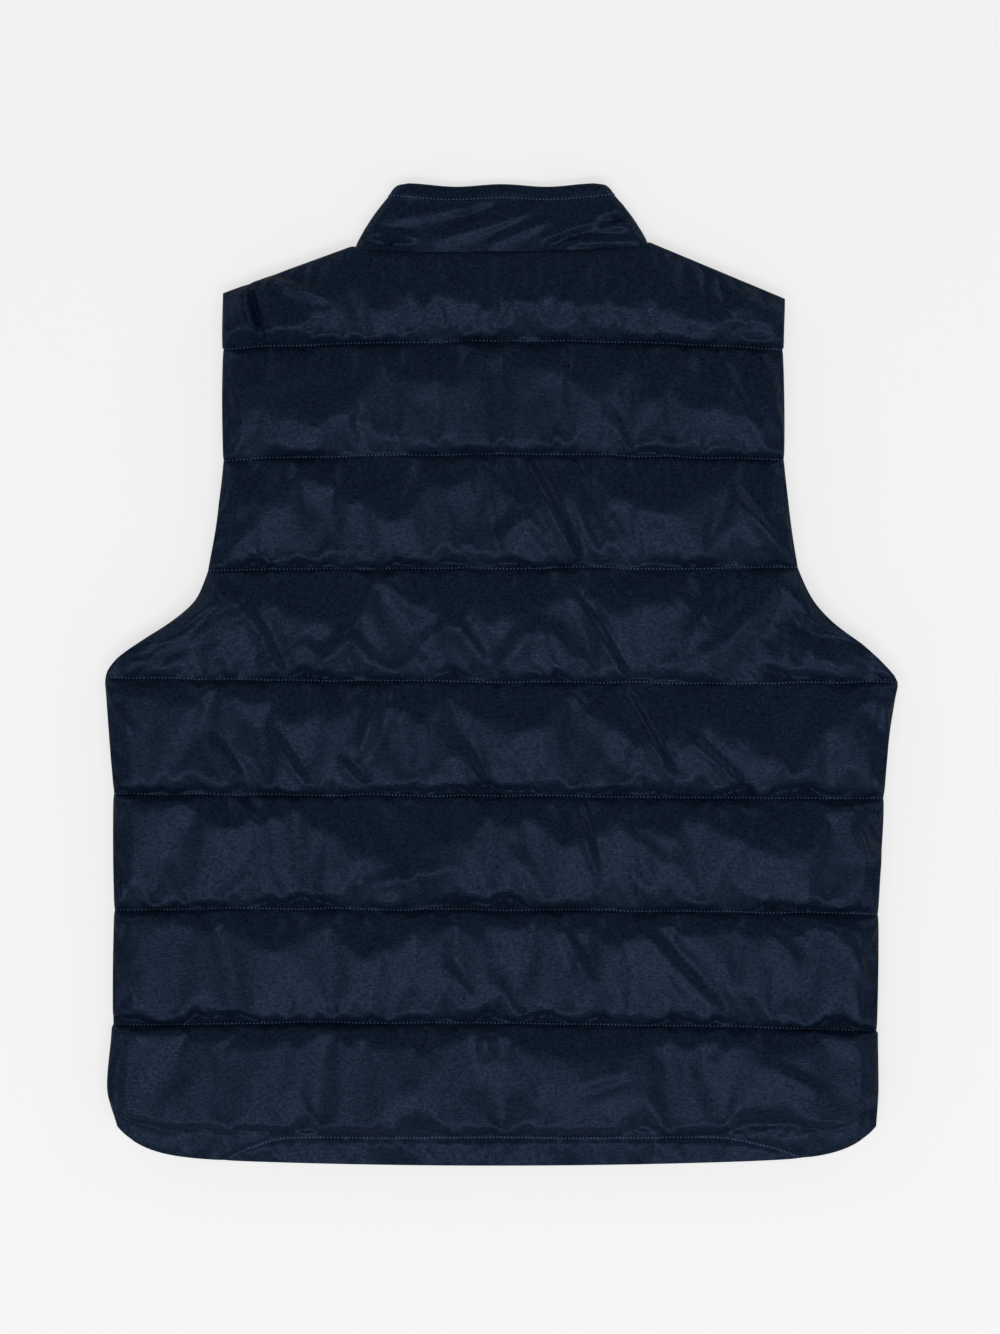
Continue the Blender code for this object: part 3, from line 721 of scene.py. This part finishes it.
def doubled(grid, creased_rows):
    """The grid with a point between each two. It stays creased along the rows that are named."""
    ends = [0, *creased_rows, len(grid) - 1]
    blocks = [finer(grid[start : end + 1]) for start, end in zip(ends, ends[1:])]
    rows = np.concatenate(blocks[:1] + [block[1:] for block in blocks[1:]])
    return np.moveaxis(finer(np.moveaxis(rows, 1, 0)), 0, 1)


def add_object(name, points, faces, material, smooth_angle=50.0):
    """A mesh object at the origin, from points in millimetres."""
    mesh = bpy.data.meshes.new(name)
    mesh.from_pydata((np.asarray(points) * MM).tolist(), [], faces)
    mesh.validate()
    mesh.shade_smooth()
    mesh.set_sharp_from_angle(angle=math.radians(smooth_angle))
    if material is not None:
        mesh.materials.append(material)
    obj = bpy.data.objects.new(name, mesh)
    bpy.context.scene.collection.objects.link(obj)
    return obj


def settled(grid, held, ease):
    """The grid after a cloth simulation has filled it out. Held is 1 where a stitch or an edge holds it."""
    rows, columns = grid.shape[:2]
    sheet = add_object("settling back", grid.reshape(-1, 3), grid_faces(rows, columns), None)
    for name, weights in (("held", held), ("ease", ease)):
        group = sheet.vertex_groups.new(name=name)
        for i, weight in enumerate(weights.reshape(-1).tolist()):
            group.add([i], weight, "REPLACE")
    cloth = sheet.modifiers.new("padding", "CLOTH")
    settings = cloth.settings
    settings.quality = SETTLE_QUALITY
    settings.use_pressure = True
    settings.uniform_pressure_force = SETTLE_PRESSURE
    settings.bending_stiffness = SETTLE_BENDING
    settings.air_damping = SETTLE_AIR
    settings.vertex_group_mass = "held"
    settings.vertex_group_shrink = "ease"
    settings.shrink_min = SETTLE_EASE_AT_SEAMS
    settings.shrink_max = SETTLE_EASE
    settings.effector_weights.gravity = 0.0
    cloth.collision_settings.use_collision = False
    cloth.point_cache.frame_start = 1
    cloth.point_cache.frame_end = SETTLE_FRAMES
    scene = bpy.context.scene
    for number in range(1, SETTLE_FRAMES + 1):
        scene.frame_set(number)
    mesh = bpy.data.meshes.new_from_object(sheet.evaluated_get(bpy.context.evaluated_depsgraph_get()))
    points = np.empty(len(mesh.vertices) * 3)
    mesh.vertices.foreach_get("co", points)
    bpy.data.objects.remove(sheet)
    bpy.data.meshes.remove(mesh)
    scene.frame_set(1)
    moved = points.reshape(grid.shape) / MM - grid
    length = np.linalg.norm(moved, axis=2, keepdims=True)
    if not np.isfinite(length).all():
        raise RuntimeError("the padding of the back didn't settle")
    return grid + moved * np.minimum(1.0, LARGEST_MOVE / np.maximum(length, 1e-9))


# Materials

def group_socket(tree, name, kind, in_out, default=None):
    socket = tree.interface.new_socket(name=name, in_out=in_out, socket_type=kind)
    if default is not None:
        socket.default_value = default


def feed(node, inputs):
    """Set each input of a node to a value, or link it to the output that feeds it."""
    for name, value in inputs.items():
        if isinstance(value, bpy.types.NodeSocket):
            node.id_data.links.new(value, node.inputs[name])
        else:
            node.inputs[name].default_value = value
    return node


def add_node(tree, kind, inputs, **settings):
    """A new node with these settings and inputs."""
    node = tree.nodes.new(kind)
    for name, value in settings.items():
        setattr(node, name, value)
    return feed(node, inputs)


def satin_weave_group():
    """The yarns of the satin: streaks across and down, a fine grain and the tints of single yarns."""
    found = bpy.data.node_groups.get("satin weave")
    if found:
        return found
    tree = bpy.data.node_groups.new("satin weave", "ShaderNodeTree")
    group_socket(tree, "Vector", "NodeSocketVector", "INPUT")
    group_socket(tree, "Yarns a metre", "NodeSocketFloat", "INPUT", YARNS_A_METRE)
    group_socket(tree, "Streak", "NodeSocketFloat", "OUTPUT")
    group_socket(tree, "Grain", "NodeSocketFloat", "OUTPUT")
    group_socket(tree, "Tint", "NodeSocketColor", "OUTPUT")
    source = tree.nodes.new("NodeGroupInput")

    def yarns(share_x, share_y):
        """Noise at the yarn count, drawn out along the threads."""
        drawn_out = {0: source.outputs["Vector"], 1: (share_x, share_y, 1.0)}
        place = add_node(tree, "ShaderNodeVectorMath", drawn_out, operation="MULTIPLY")
        count = {"Vector": place.outputs[0], "Scale": source.outputs["Yarns a metre"], "Detail": 2.0}
        return add_node(tree, "ShaderNodeTexNoise", count).outputs["Fac"]

    def spread(value, low, high):
        """The values from low to high, spread from 0 to 1."""
        limits = {"Value": value, "From Min": low, "From Max": high}
        return add_node(tree, "ShaderNodeMapRange", limits).outputs["Result"]

    crossed = add_node(tree, "ShaderNodeMix", {"Factor": WARP_SHARE, "A": yarns(*WEFT), "B": yarns(*WARP)})
    streak = spread(crossed.outputs["Result"], *STREAK_RANGE)
    tints = {"A": (*TEAL_YARN, 1.0), "B": (*PURPLE_YARN, 1.0)}
    tints["Factor"] = spread(yarns(*TINTED_YARNS), *TINT_RANGE)
    tint = add_node(tree, "ShaderNodeMix", tints, data_type="RGBA").outputs["Result"]
    add_node(tree, "NodeGroupOutput", {"Streak": streak, "Grain": yarns(*GRAIN), "Tint": tint})
    return tree


def new_material(name):
    """A material, with its tree and its shader."""
    material = bpy.data.materials.new(name)
    material.use_nodes = True
    return material, material.node_tree, material.node_tree.nodes["Principled BSDF"]


def own_places(tree):
    return tree.nodes.new("ShaderNodeTexCoord").outputs["Object"]


def weave_outputs(tree, yarns_a_metre):
    inputs = {"Vector": own_places(tree), "Yarns a metre": yarns_a_metre}
    return add_node(tree, "ShaderNodeGroup", inputs, node_tree=satin_weave_group()).outputs


def bumped(tree, height, depth):
    """The normals of a fine relief."""
    relief = {"Height": height, "Strength": BUMP_STRENGTH, "Distance": depth}
    return add_node(tree, "ShaderNodeBump", relief).outputs["Normal"]


def satin_material(name, roughness):
    """Navy satin: paler slub yarns, uneven gloss and a fine weave."""
    material, tree, shader = new_material(name)
    weave = weave_outputs(tree, YARNS_A_METRE)
    streak = weave["Streak"]
    yarns = {"Factor": streak, "A": (*colours().satin, 1.0), "B": (*colours().satin_light, 1.0)}
    mixed = add_node(tree, "ShaderNodeMix", yarns, data_type="RGBA").outputs["Result"]
    tints = {"Factor": 1.0, "A": mixed, "B": weave["Tint"]}
    tinted = add_node(tree, "ShaderNodeMix", tints, data_type="RGBA", blend_type="OVERLAY")
    glosses = {"Value": streak, "To Min": roughness + DULLER_YARNS, "To Max": roughness - GLOSSIER_YARNS}
    gloss = add_node(tree, "ShaderNodeMapRange", glosses)
    height = add_node(tree, "ShaderNodeMath", {0: streak, 1: weave["Grain"]}, operation="ADD")
    normal = bumped(tree, height.outputs[0], WEAVE_DEPTH)
    feed(shader, {"Base Color": tinted.outputs["Result"], "Specular Tint": (*colours().sheen, 1.0)})
    feed(shader, {"Roughness": gloss.outputs["Result"], "Normal": normal})
    return material


def thread_material():
    material, tree, shader = new_material("sewing thread")
    twist = add_node(tree, "ShaderNodeTexNoise", {"Vector": own_places(tree), "Scale": THREAD_TWIST})
    normal = bumped(tree, twist.outputs["Fac"], THREAD_DEPTH)
    feed(shader, {"Base Color": (*colours().thread, 1.0), "Roughness": THREAD_ROUGHNESS, "Normal": normal})
    return material


def zip_material(name, roughness):
    material, tree, shader = new_material(name)
    normal = bumped(tree, weave_outputs(tree, ZIP_YARNS_A_METRE)["Grain"], WEAVE_DEPTH)
    feed(shader, {"Base Color": (*colours().zip_tape, 1.0), "Roughness": roughness, "Normal": normal})
    return material


def shell_satin():
    """The satin of the panels, made the first time that it is asked for."""
    return bpy.data.materials.get("navy satin") or satin_material("navy satin", SHELL_ROUGHNESS)


# Stitches and teeth, made by Geometry Nodes

def repeat_tree(name, shape):
    """A tree that sets copies of one small shape along the edges of a mesh, a pitch apart."""
    tree = bpy.data.node_groups.new(name, "GeometryNodeTree")
    tree.is_modifier = True
    group_socket(tree, "Geometry", "NodeSocketGeometry", "INPUT")
    group_socket(tree, "Pitch", "NodeSocketFloat", "INPUT")
    group_socket(tree, "Width", "NodeSocketFloat", "INPUT")
    group_socket(tree, "Finish", "NodeSocketMaterial", "INPUT")
    group_socket(tree, "Geometry", "NodeSocketGeometry", "OUTPUT")
    source = tree.nodes.new("NodeGroupInput")
    pitch, width = source.outputs["Pitch"], source.outputs["Width"]
    one = add_node(tree, shape.kind, shape.inputs)
    length = add_node(tree, "ShaderNodeMath", {0: pitch, 1: shape.share}, operation="MULTIPLY")
    scale = add_node(tree, "ShaderNodeCombineXYZ", {"X": length.outputs[0], "Y": width, "Z": width})
    curve = add_node(tree, "GeometryNodeMeshToCurve", {"Mesh": source.outputs["Geometry"]})
    spacing = {"Curve": curve.outputs["Curve"], "Length": pitch}
    spaced = add_node(tree, "GeometryNodeResampleCurve", spacing, mode="LENGTH")
    tangent = tree.nodes.new("GeometryNodeInputTangent").outputs["Tangent"]
    turn = add_node(tree, "FunctionNodeAlignRotationToVector", {"Vector": tangent}, axis="X")
    copies = add_node(tree, "GeometryNodeInstanceOnPoints", {
        "Points": spaced.outputs["Curve"],
        "Instance": one.outputs["Mesh"],
        "Scale": scale.outputs["Vector"],
        "Rotation": turn.outputs["Rotation"],
    })
    real = add_node(tree, "GeometryNodeRealizeInstances", {"Geometry": copies.outputs["Instances"]})
    finish = {"Geometry": real.outputs["Geometry"], "Material": source.outputs["Finish"]}
    finished = add_node(tree, "GeometryNodeSetMaterial", finish)
    add_node(tree, "NodeGroupOutput", {"Geometry": finished.outputs["Geometry"]})
    return tree


def repeated(name, lines, shape, pitch, width, material):
    """Copies of a small shape along lines of points in millimetres, as one plain mesh object."""
    points, edges = [], []
    for line in lines:
        edges += [(len(points) + i, len(points) + i + 1) for i in range(len(line) - 1)]
        points += [tuple(p) for p in (np.asarray(line) * MM).tolist()]
    mesh = bpy.data.meshes.new(name)
    mesh.from_pydata(points, edges, [])
    obj = bpy.data.objects.new(name, mesh)
    bpy.context.scene.collection.objects.link(obj)
    tree = repeat_tree(name, shape)
    modifier = obj.modifiers.new("copies", "NODES")
    modifier.node_group = tree
    values = {"Pitch": pitch, "Width": width, "Finish": material}
    for item in tree.interface.items_tree:
        if item.item_type == "SOCKET" and item.in_out == "INPUT" and item.name in values:
            modifier[item.identifier] = values[item.name]
    evaluated = obj.evaluated_get(bpy.context.evaluated_depsgraph_get())
    made = bpy.data.meshes.new_from_object(evaluated)
    obj.modifiers.clear()
    obj.data = made
    bpy.data.meshes.remove(mesh)
    if not made.polygons:
        raise RuntimeError(f"{name} has no faces")
    made.shade_smooth()
    return obj


def sew(name, lines, width_share=1.0):
    """Stitches along lines of points, which ride on the vest."""
    thread = bpy.data.materials.get("sewing thread") or thread_material()
    width = width_share * sizes().thread_width
    stitches = repeated(name, lines, STITCH_BEAD, sizes().stitch_length, width, thread)
    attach(stitches, BODY)


# Panels

def back_inside_z():
    return sizes().front_thickness / MM + SEAM_GAP


def back_layout():
    """The back before it is settled: its grid, the points that are held and the ease of each point."""
    crown, seam = sizes().crown / MM, sizes().seam / MM
    rows = section_rows(BACK_STEPS_A_CHANNEL, HEM_STEPS)
    grid, held, ease = [], [], []
    for row in rows:
        left, right = side_edges(row)
        x = places_across(left, right, BACK_COLUMNS)
        rounding = edge_padding(np.minimum(x - left, right - x))
        y = section_heights(x, row, back_neck_line)
        if 0 <= row <= LAST_STITCH:
            y = y + SEAM_WAVE * unevenness(x, y, *SEAM_NOISE)
        z = back_inside_z() + seam * blend(SEAM_EDGE_SHARE, 1.0, rounding)
        full = fullness(x, row) * rounding
        lumps = LUMPS * unevenness(x, y, *LUMP_NOISE)
        lumps = lumps + FINE_LUMPS * LUMPS * unevenness(x, y, *FINE_LUMP_NOISE)
        z = z + full * (START_SHARE * (crown - seam) + lumps)
        grid.append(np.stack((x, y, z), axis=1))
        on_stitch = row in STITCH_ROWS or row in (NECK_LINE, HEM_EDGE)
        holding = np.full(len(x), 1.0 if on_stitch else 0.0)
        holding[[0, -1]] = 1.0
        held.append(holding)
        ease.append(np.full(len(x), min(1.0, EASE_GAIN * padding(row))))
    return np.array(grid), np.array(held), np.array(ease), rows


def stand_for(obj, node):
    """Put an object in the place of a solid."""
    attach(obj, BODY)
    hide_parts(node)


def finish_panel(obj, node):
    """Put a quilted panel in the place of its solid."""
    stand_for(obj, node)


class VEST_OT_back(bpy.types.Operator):
    """Lay out the quilted back, settle its padding and sew its stitch rows"""

    bl_idname = "vest.back"
    bl_label = "Quilted back"

    def execute(self, context):
        start, held, ease, rows = back_layout()
        grid = settled(start, held, ease)
        sewn = [i for i, row in enumerate(rows) if row in STITCH_ROWS]
        fine = doubled(grid, sewn)
        x, y, z = np.moveaxis(fine, 2, 0)
        z += crease_height(x, y, BACK_CREASES)
        z += puckers(x, y, [y[2 * i] for i in sewn])
        z[:] = hollowed(x, y, z, [2 * i for i in sewn])
        z -= HEM_GROOVE * bell((y - hem_stitch_y(x)) / HEM_GROOVE_WIDTH)
        from_groove = np.minimum(x - x[:, :1], x[:, -1:] - x) - SIDE_GROOVE_INSET
        z -= SIDE_GROOVE * bell(from_groove / SIDE_GROOVE_WIDTH) * (y < SIDE_GROOVE_TOP)
        np.maximum(z, back_inside_z() + LEAST_THICKNESS, out=z)
        back = add_object("quilted_back", *panel_mesh(fine, back_inside_z()), shell_satin())
        finish_panel(back, "back")
        lines = [fine[2 * i, 2:-2] for i in sewn]
        hem_x = np.arange(HEM_STITCH_LEFT[0], HEM_STITCH_RIGHT[1], HEM_STITCH_STEP)
        places = fine.reshape(-1, 3)
        hem = [(px, py, places[np.argmin((places[:, 0] - px) ** 2 + (places[:, 1] - py) ** 2), 2])
               for px, py in zip(hem_x, hem_stitch_y(hem_x))]
        lines = [np.asarray(line) + (0.0, 0.0, STITCH_LIFT) for line in (*lines, hem)]
        sew("back_stitches", lines)
        return {"FINISHED"}


def front_grid(side):
    """One front, from the zip to the side seam, with its crowns pressed flat on the surface below."""
    thickness, seam = sizes().front_thickness / MM, sizes().seam / MM
    zip_edge = side * (ZIP_HALF_WIDTH + SEAM_GAP)
    grid = []
    rows = section_rows(FRONT_STEPS_A_CHANNEL, HEM_STEPS)
    for row in rows:
        armhole = math.sin(math.pi * min(max((row + 1) / 4, 0.0), 1.0)) ** 2
        inset = FRONT_SIDE_INSET + FRONT_ARMHOLE_EXTRA * armhole
        side_x = side_edges(row)[0 if side < 0 else 1] - side * inset
        x = places_across(min(side_x, zip_edge), max(side_x, zip_edge), FRONT_COLUMNS)
        rounding = edge_padding(np.minimum(np.abs(x - side_x), np.abs(x - zip_edge)))
        full = np.minimum(1.0, FLAT_CROWN_GAIN * padding(row)) * np.minimum(1.0, rounding * FLAT_EDGE_GAIN)
        z = thickness - seam - (thickness - seam) * full
        grid.append(np.stack((x, section_heights(x, row, front_neck_line, FRONT_HEM_LIFT), z), axis=1))
    return np.array(grid), rows


class VEST_OT_fronts(bpy.types.Operator):
    """Lay out the two quilted fronts that the back lies on and sew their stitch rows"""

    bl_idname = "vest.fronts"
    bl_label = "Quilted fronts"

    def execute(self, context):
        lines = []
        for name, side in (("front_left", -1), ("front_right", 1)):
            grid, rows = front_grid(side)
            wall = panel_mesh(grid, sizes().front_thickness / MM)
            front = add_object("quilted_" + name, *wall, shell_satin())
            finish_panel(front, name)
            sewn = [i for i, row in enumerate(rows) if row in STITCH_ROWS]
            lines += [grid[i, 2:-2] - (0.0, 0.0, STITCH_LIFT) for i in sewn]
        sew("front_stitches", lines)
        return {"FINISHED"}


# Collar

CollarSection = namedtuple("CollarSection", "base top outward")


def collar_back_sections(count=121):
    """The half of the collar that lies upwards, from the left fold to the right one."""
    z = COLLAR_LOWER_Z + 2 * COLLAR_FOLD_RADIUS
    sections = []
    for share in np.linspace(0, 1, count):
        base_x = blend(-COLLAR_FOLD_BASE_X, COLLAR_FOLD_BASE_X, share)
        top_x = blend(-COLLAR_FOLD_TOP[0], COLLAR_FOLD_TOP[0], share)
        crest = COLLAR_TOP_CREST * math.cos(4 * math.pi * share)
        sunk = COLLAR_TUCK * min(1.0, COLLAR_TUCK_RATE * share, COLLAR_TUCK_RATE * (1 - share))
        base = np.array((base_x, float(back_neck_line(base_x)) + COLLAR_GAP - COLLAR_TUCK, z - sunk))
        top = np.array((top_x, COLLAR_FOLD_TOP[1] + crest, z - COLLAR_SAG * math.sin(math.pi * share)))
        sections.append(CollarSection(base, top, np.array((0.0, 0.0, 1.0))))
    return sections


def collar_fold_sections(side, back_end, count=9):
    """The fold at one side of the neck, from the upward half down to the lower one."""
    along = back_end.top - back_end.base
    outward = np.array((-along[1], along[0], 0.0)) / np.linalg.norm(along[:2])
    outward *= -1 if outward[0] * side < 0 else 1
    up = np.array((0.0, 0.0, 1.0))
    sections = []
    for turn in np.linspace(0, math.pi, count + 2)[1:]:
        facing = outward * math.sin(turn) + up * math.cos(turn)
        shift = COLLAR_FOLD_RADIUS * (facing - up)
        top = back_end.top - along / np.linalg.norm(along) * COLLAR_CORNER_DROP * math.sin(turn) + shift
        sections.append(CollarSection(back_end.base + shift, top, facing))
    return sections


def collar_front_sections(side, fold_end, count=20):
    """The lower half of the collar at one side, from its fold to the zip, along the front neck."""
    neck = NECK_POINT_LEFT if side < 0 else NECK_POINT_RIGHT
    zip_edge = ZIP_HALF_WIDTH + SEAM_GAP
    down = np.array((0.0, 0.0, -1.0))
    pull = np.array((side * COLLAR_FRONT_PULL[0], COLLAR_FRONT_PULL[1]))
    front_top = np.array((side * zip_edge, COLLAR_FRONT_TOP_Y))
    sections = []
    for share in np.linspace(0, 1, count + 1)[1:]:
        turn = blend(0.0, math.acos(zip_edge / abs(neck[0])), share)
        x = neck[0] * math.cos(turn) - side * COLLAR_NECK_EASE * math.cos(turn) ** 2
        x = side * max(abs(x), zip_edge)
        base = np.array((x, float(front_neck_line(x)) + COLLAR_GAP * 2, COLLAR_LOWER_Z))
        curve = (1 - share) ** 2 * fold_end.top[:2] + 2 * share * (1 - share) * pull + share**2 * front_top
        sections.append(CollarSection(base, np.array((*curve, COLLAR_LOWER_Z)), down))
    return sections


def collar_profile():
    """The wall of the collar as (share of its height, distance outwards), once round."""
    half = COLLAR_THICKNESS / 2
    outside = [(0.0, half - 0.8), (0.05, half - 0.3)]
    for share in np.linspace(0.09, COLLAR_STITCH_HEIGHT, 20):
        swell = math.sin(math.pi * (share - 0.05) / (COLLAR_STITCH_HEIGHT - 0.05))
        outside.append((share, half - 0.2 + COLLAR_PUFF * max(swell, 0.0)))
    outside += [(0.83, half + 0.05), (0.88, half + 0.15), (0.93, half - 0.2)]
    outside += [(0.97, half - 0.9), (0.99, half - 1.8), (1.0, 0.0)]
    inside = [(0.99, 1.8 - half), (0.97, 0.9 - half), (0.90, -half), (0.5, -half), (0.0, -half)]
    return outside + inside


def collar_fold(section, point):
    """What the creases add at a point of the collar. Only the half that lies upwards has them."""
    return max(section.outward[2], 0.0) * float(crease_height(point[0], point[1], COLLAR_CREASES))


class VEST_OT_collar(bpy.types.Operator):
    """Roll the stand collar round the neck and sew its top edge"""

    bl_idname = "vest.collar"
    bl_label = "Stand collar"

    def execute(self, context):
        back = collar_back_sections()
        left_fold, right_fold = collar_fold_sections(-1, back[0]), collar_fold_sections(1, back[-1])
        left = left_fold + collar_front_sections(-1, left_fold[-1])
        right = right_fold + collar_front_sections(1, right_fold[-1])
        sections = left[::-1] + back + right
        profile = collar_profile()
        points = []
        for section in sections:
            for height, out in profile:
                point = blend(section.base, section.top, height)
                if out > 0:
                    out += collar_fold(section, point)
                points.append(point + section.outward * out)
        ring = len(profile)
        faces = []
        for i in range(len(sections) - 1):
            for j in range(ring):
                k = (j + 1) % ring
                faces.append((i * ring + j, (i + 1) * ring + j, (i + 1) * ring + k, i * ring + k))
        last = (len(sections) - 1) * ring
        faces += [tuple(range(ring)), tuple(last + j for j in range(ring - 1, -1, -1))]
        satin = satin_material("navy satin collar", COLLAR_ROUGHNESS)
        collar = add_object("stand_collar", points, faces, satin)
        stand_for(collar, "collar")
        steps = list(zip(sections, sections[1:]))
        top_steps = [np.linalg.norm(b.top - a.top) for a, b in steps]
        base_steps = [np.linalg.norm(b.base - a.base) for a, b in steps]
        heights = [np.linalg.norm(s.top - s.base) for s in sections]
        flat = (float(max(sum(top_steps), sum(base_steps))) * MM, float(max(heights)) * MM)
        area = 0.0
        for i in range(len(steps)):
            middle = (top_steps[i] + base_steps[i]) / 2
            area += middle * (heights[i] + heights[i + 1]) / 2
        area = min(float(area) * MM**2, flat[0] * flat[1])
        surface = COLLAR_THICKNESS / 2 + COLLAR_STITCH_LIFT
        line = []
        for section in sections:
            point = blend(section.base, section.top, COLLAR_STITCH_HEIGHT + COLLAR_STITCH_RISE)
            line.append(point + section.outward * (surface + collar_fold(section, point)))
        sew("collar_stitches", [line], COLLAR_THREAD)
        return {"FINISHED"}


class VEST_OT_zip(bpy.types.Operator):
    """Weave the zip's tape and set its teeth"""

    bl_idname = "vest.zip"
    bl_label = "Centre-front zip"

    def execute(self, context):
        low, high = ZIP_TAPE_Z
        ends = (HEM_Y + FRONT_HEM_LIFT, COLLAR_FRONT_TOP_Y)
        across = np.linspace(-ZIP_HALF_WIDTH, ZIP_HALF_WIDTH, ZIP_COLUMNS)
        along = np.linspace(ends[1], ends[0], ZIP_ROWS)
        ribs = ZIP_RIB * np.cos(across / ZIP_HALF_WIDTH * math.pi * ZIP_RIBS)
        grid = np.array([[(x, y, high - ZIP_RIB_SINK + rib) for x, rib in zip(across, ribs)] for y in along])
        tape_finish = zip_material("zip tape", ZIP_TAPE_ROUGHNESS)
        tape = add_object("zip_tape", *panel_mesh(grid, low), tape_finish)
        stand_for(tape, "zip")
        middle = sum(ZIP_CHAIN_Z) / 2
        pitch = sizes().tooth_pitch / MM
        lines = []
        for side in (-1, 1):
            shift = 0.5 * pitch * (side + 1) / 2
            tooth_ends = (ends[0] + TOOTH_MARGIN + shift, ends[1] - TOOTH_MARGIN)
            lines.append([(side * TOOTH_OFFSET, y, middle) for y in tooth_ends])
        depth = (ZIP_CHAIN_Z[1] - ZIP_CHAIN_Z[0]) * MM
        teeth_finish = zip_material("zip teeth", ZIP_TEETH_ROUGHNESS)
        teeth = repeated("zip_teeth", lines, ZIP_TOOTH, sizes().tooth_pitch, depth, teeth_finish)
        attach(teeth, BODY)
        return {"FINISHED"}


# Stage

def add_area_light(light):
    """A rectangular lamp that faces its aim."""
    area = bpy.data.lights.new(light.name, "AREA")
    area.shape = "RECTANGLE"
    area.size, area.size_y = light.size
    area.energy = light.power
    lamp = bpy.data.objects.new(light.name, area)
    bpy.context.scene.collection.objects.link(lamp)
    lamp.location = light.place
    lamp.rotation_euler = (Vector(light.aim) - Vector(light.place)).to_track_quat("-Z", "Y").to_euler()


def camera_ray(tree):
    return tree.nodes.new("ShaderNodeLightPath").outputs["Is Camera Ray"]


class VEST_OT_stage(bpy.types.Operator):
    """Set the floor, the studio lights and the camera straight above the vest"""

    bl_idname = "vest.stage"
    bl_label = "Studio stage"

    def execute(self, context):
        scene = context.scene
        pale = (*colours().floor, 1.0)
        material, tree, shader = new_material("pale floor")
        feed(shader, {"Base Color": pale, "Roughness": FLOOR_ROUGHNESS, "Specular IOR Level": 0.0})
        feed(shader, {"Emission Color": camera_ray(tree), "Emission Strength": FLOOR_GLOW})
        points = [(x * FLOOR_HALF, y * FLOOR_HALF, FLOOR_Z) for x, y in CORNERS]
        floor = add_object("studio_floor", points, [(0, 1, 2, 3)], material)
        world = bpy.data.worlds.new("studio")
        world.use_nodes = True
        tree = world.node_tree
        dim = feed(tree.nodes["Background"], {"Color": (1.0, 1.0, 1.0, 1.0), "Strength": WORLD_LIGHT})
        backdrop = add_node(tree, "ShaderNodeBackground", {"Color": pale})
        both = {0: camera_ray(tree), 1: dim.outputs[0], 2: backdrop.outputs[0]}
        shown = add_node(tree, "ShaderNodeMixShader", both)
        feed(tree.nodes["World Output"], {"Surface": shown.outputs[0]})
        scene.world = world
        for light in LIGHTS:
            add_area_light(light)
        camera = bpy.data.cameras.new("overhead camera")
        camera.lens = CAMERA_LENS_MM
        camera.sensor_fit = "VERTICAL"
        camera.sensor_width = CAMERA_SENSOR_MM
        camera.sensor_height = CAMERA_SENSOR_MM
        height = FRAME_HEIGHT_PX * PIXEL_MM * CAMERA_LENS_MM / CAMERA_SENSOR_MM
        stand = bpy.data.objects.new("overhead camera", camera)
        scene.collection.objects.link(stand)
        surface = back_inside_z() + sizes().seam / MM
        stand.location = [value * MM for value in (*FRAME_CENTRE_MM, height + surface)]
        scene.camera = stand
        scene.view_settings.view_transform = "Standard"
        return {"FINISHED"}


class VEST_PT_panel(bpy.types.Panel):
    """The steps that dress the vest, in their order"""

    bl_idname = "VEST_PT_panel"
    bl_label = "Quilted vest"
    bl_space_type = "VIEW_3D"
    bl_region_type = "UI"
    bl_category = "Vest"

    def draw(self, context):
        for step in STEPS:
            self.layout.operator(step.bl_idname)
        for group in (sizes(), colours()):
            for name in group.__annotations__:
                self.layout.prop(group, name)


STEPS = (VEST_OT_fronts, VEST_OT_back, VEST_OT_collar, VEST_OT_zip, VEST_OT_stage)
CLASSES = (VestSizes, VestColours, *STEPS, VEST_PT_panel)


def register():
    for item in CLASSES:
        bpy.utils.register_class(item)
    bpy.types.Scene.vest_sizes = bpy.props.PointerProperty(type=VestSizes)
    bpy.types.Scene.vest_colours = bpy.props.PointerProperty(type=VestColours)


def unregister():
    del bpy.types.Scene.vest_colours
    del bpy.types.Scene.vest_sizes
    for item in reversed(CLASSES):
        bpy.utils.unregister_class(item)


def main():
    register()
    bpy.ops.vest.fronts()
    bpy.ops.vest.back()
    bpy.ops.vest.collar()
    bpy.ops.vest.zip()
    bpy.ops.vest.stage()


if __name__ == "__main__":
    main()
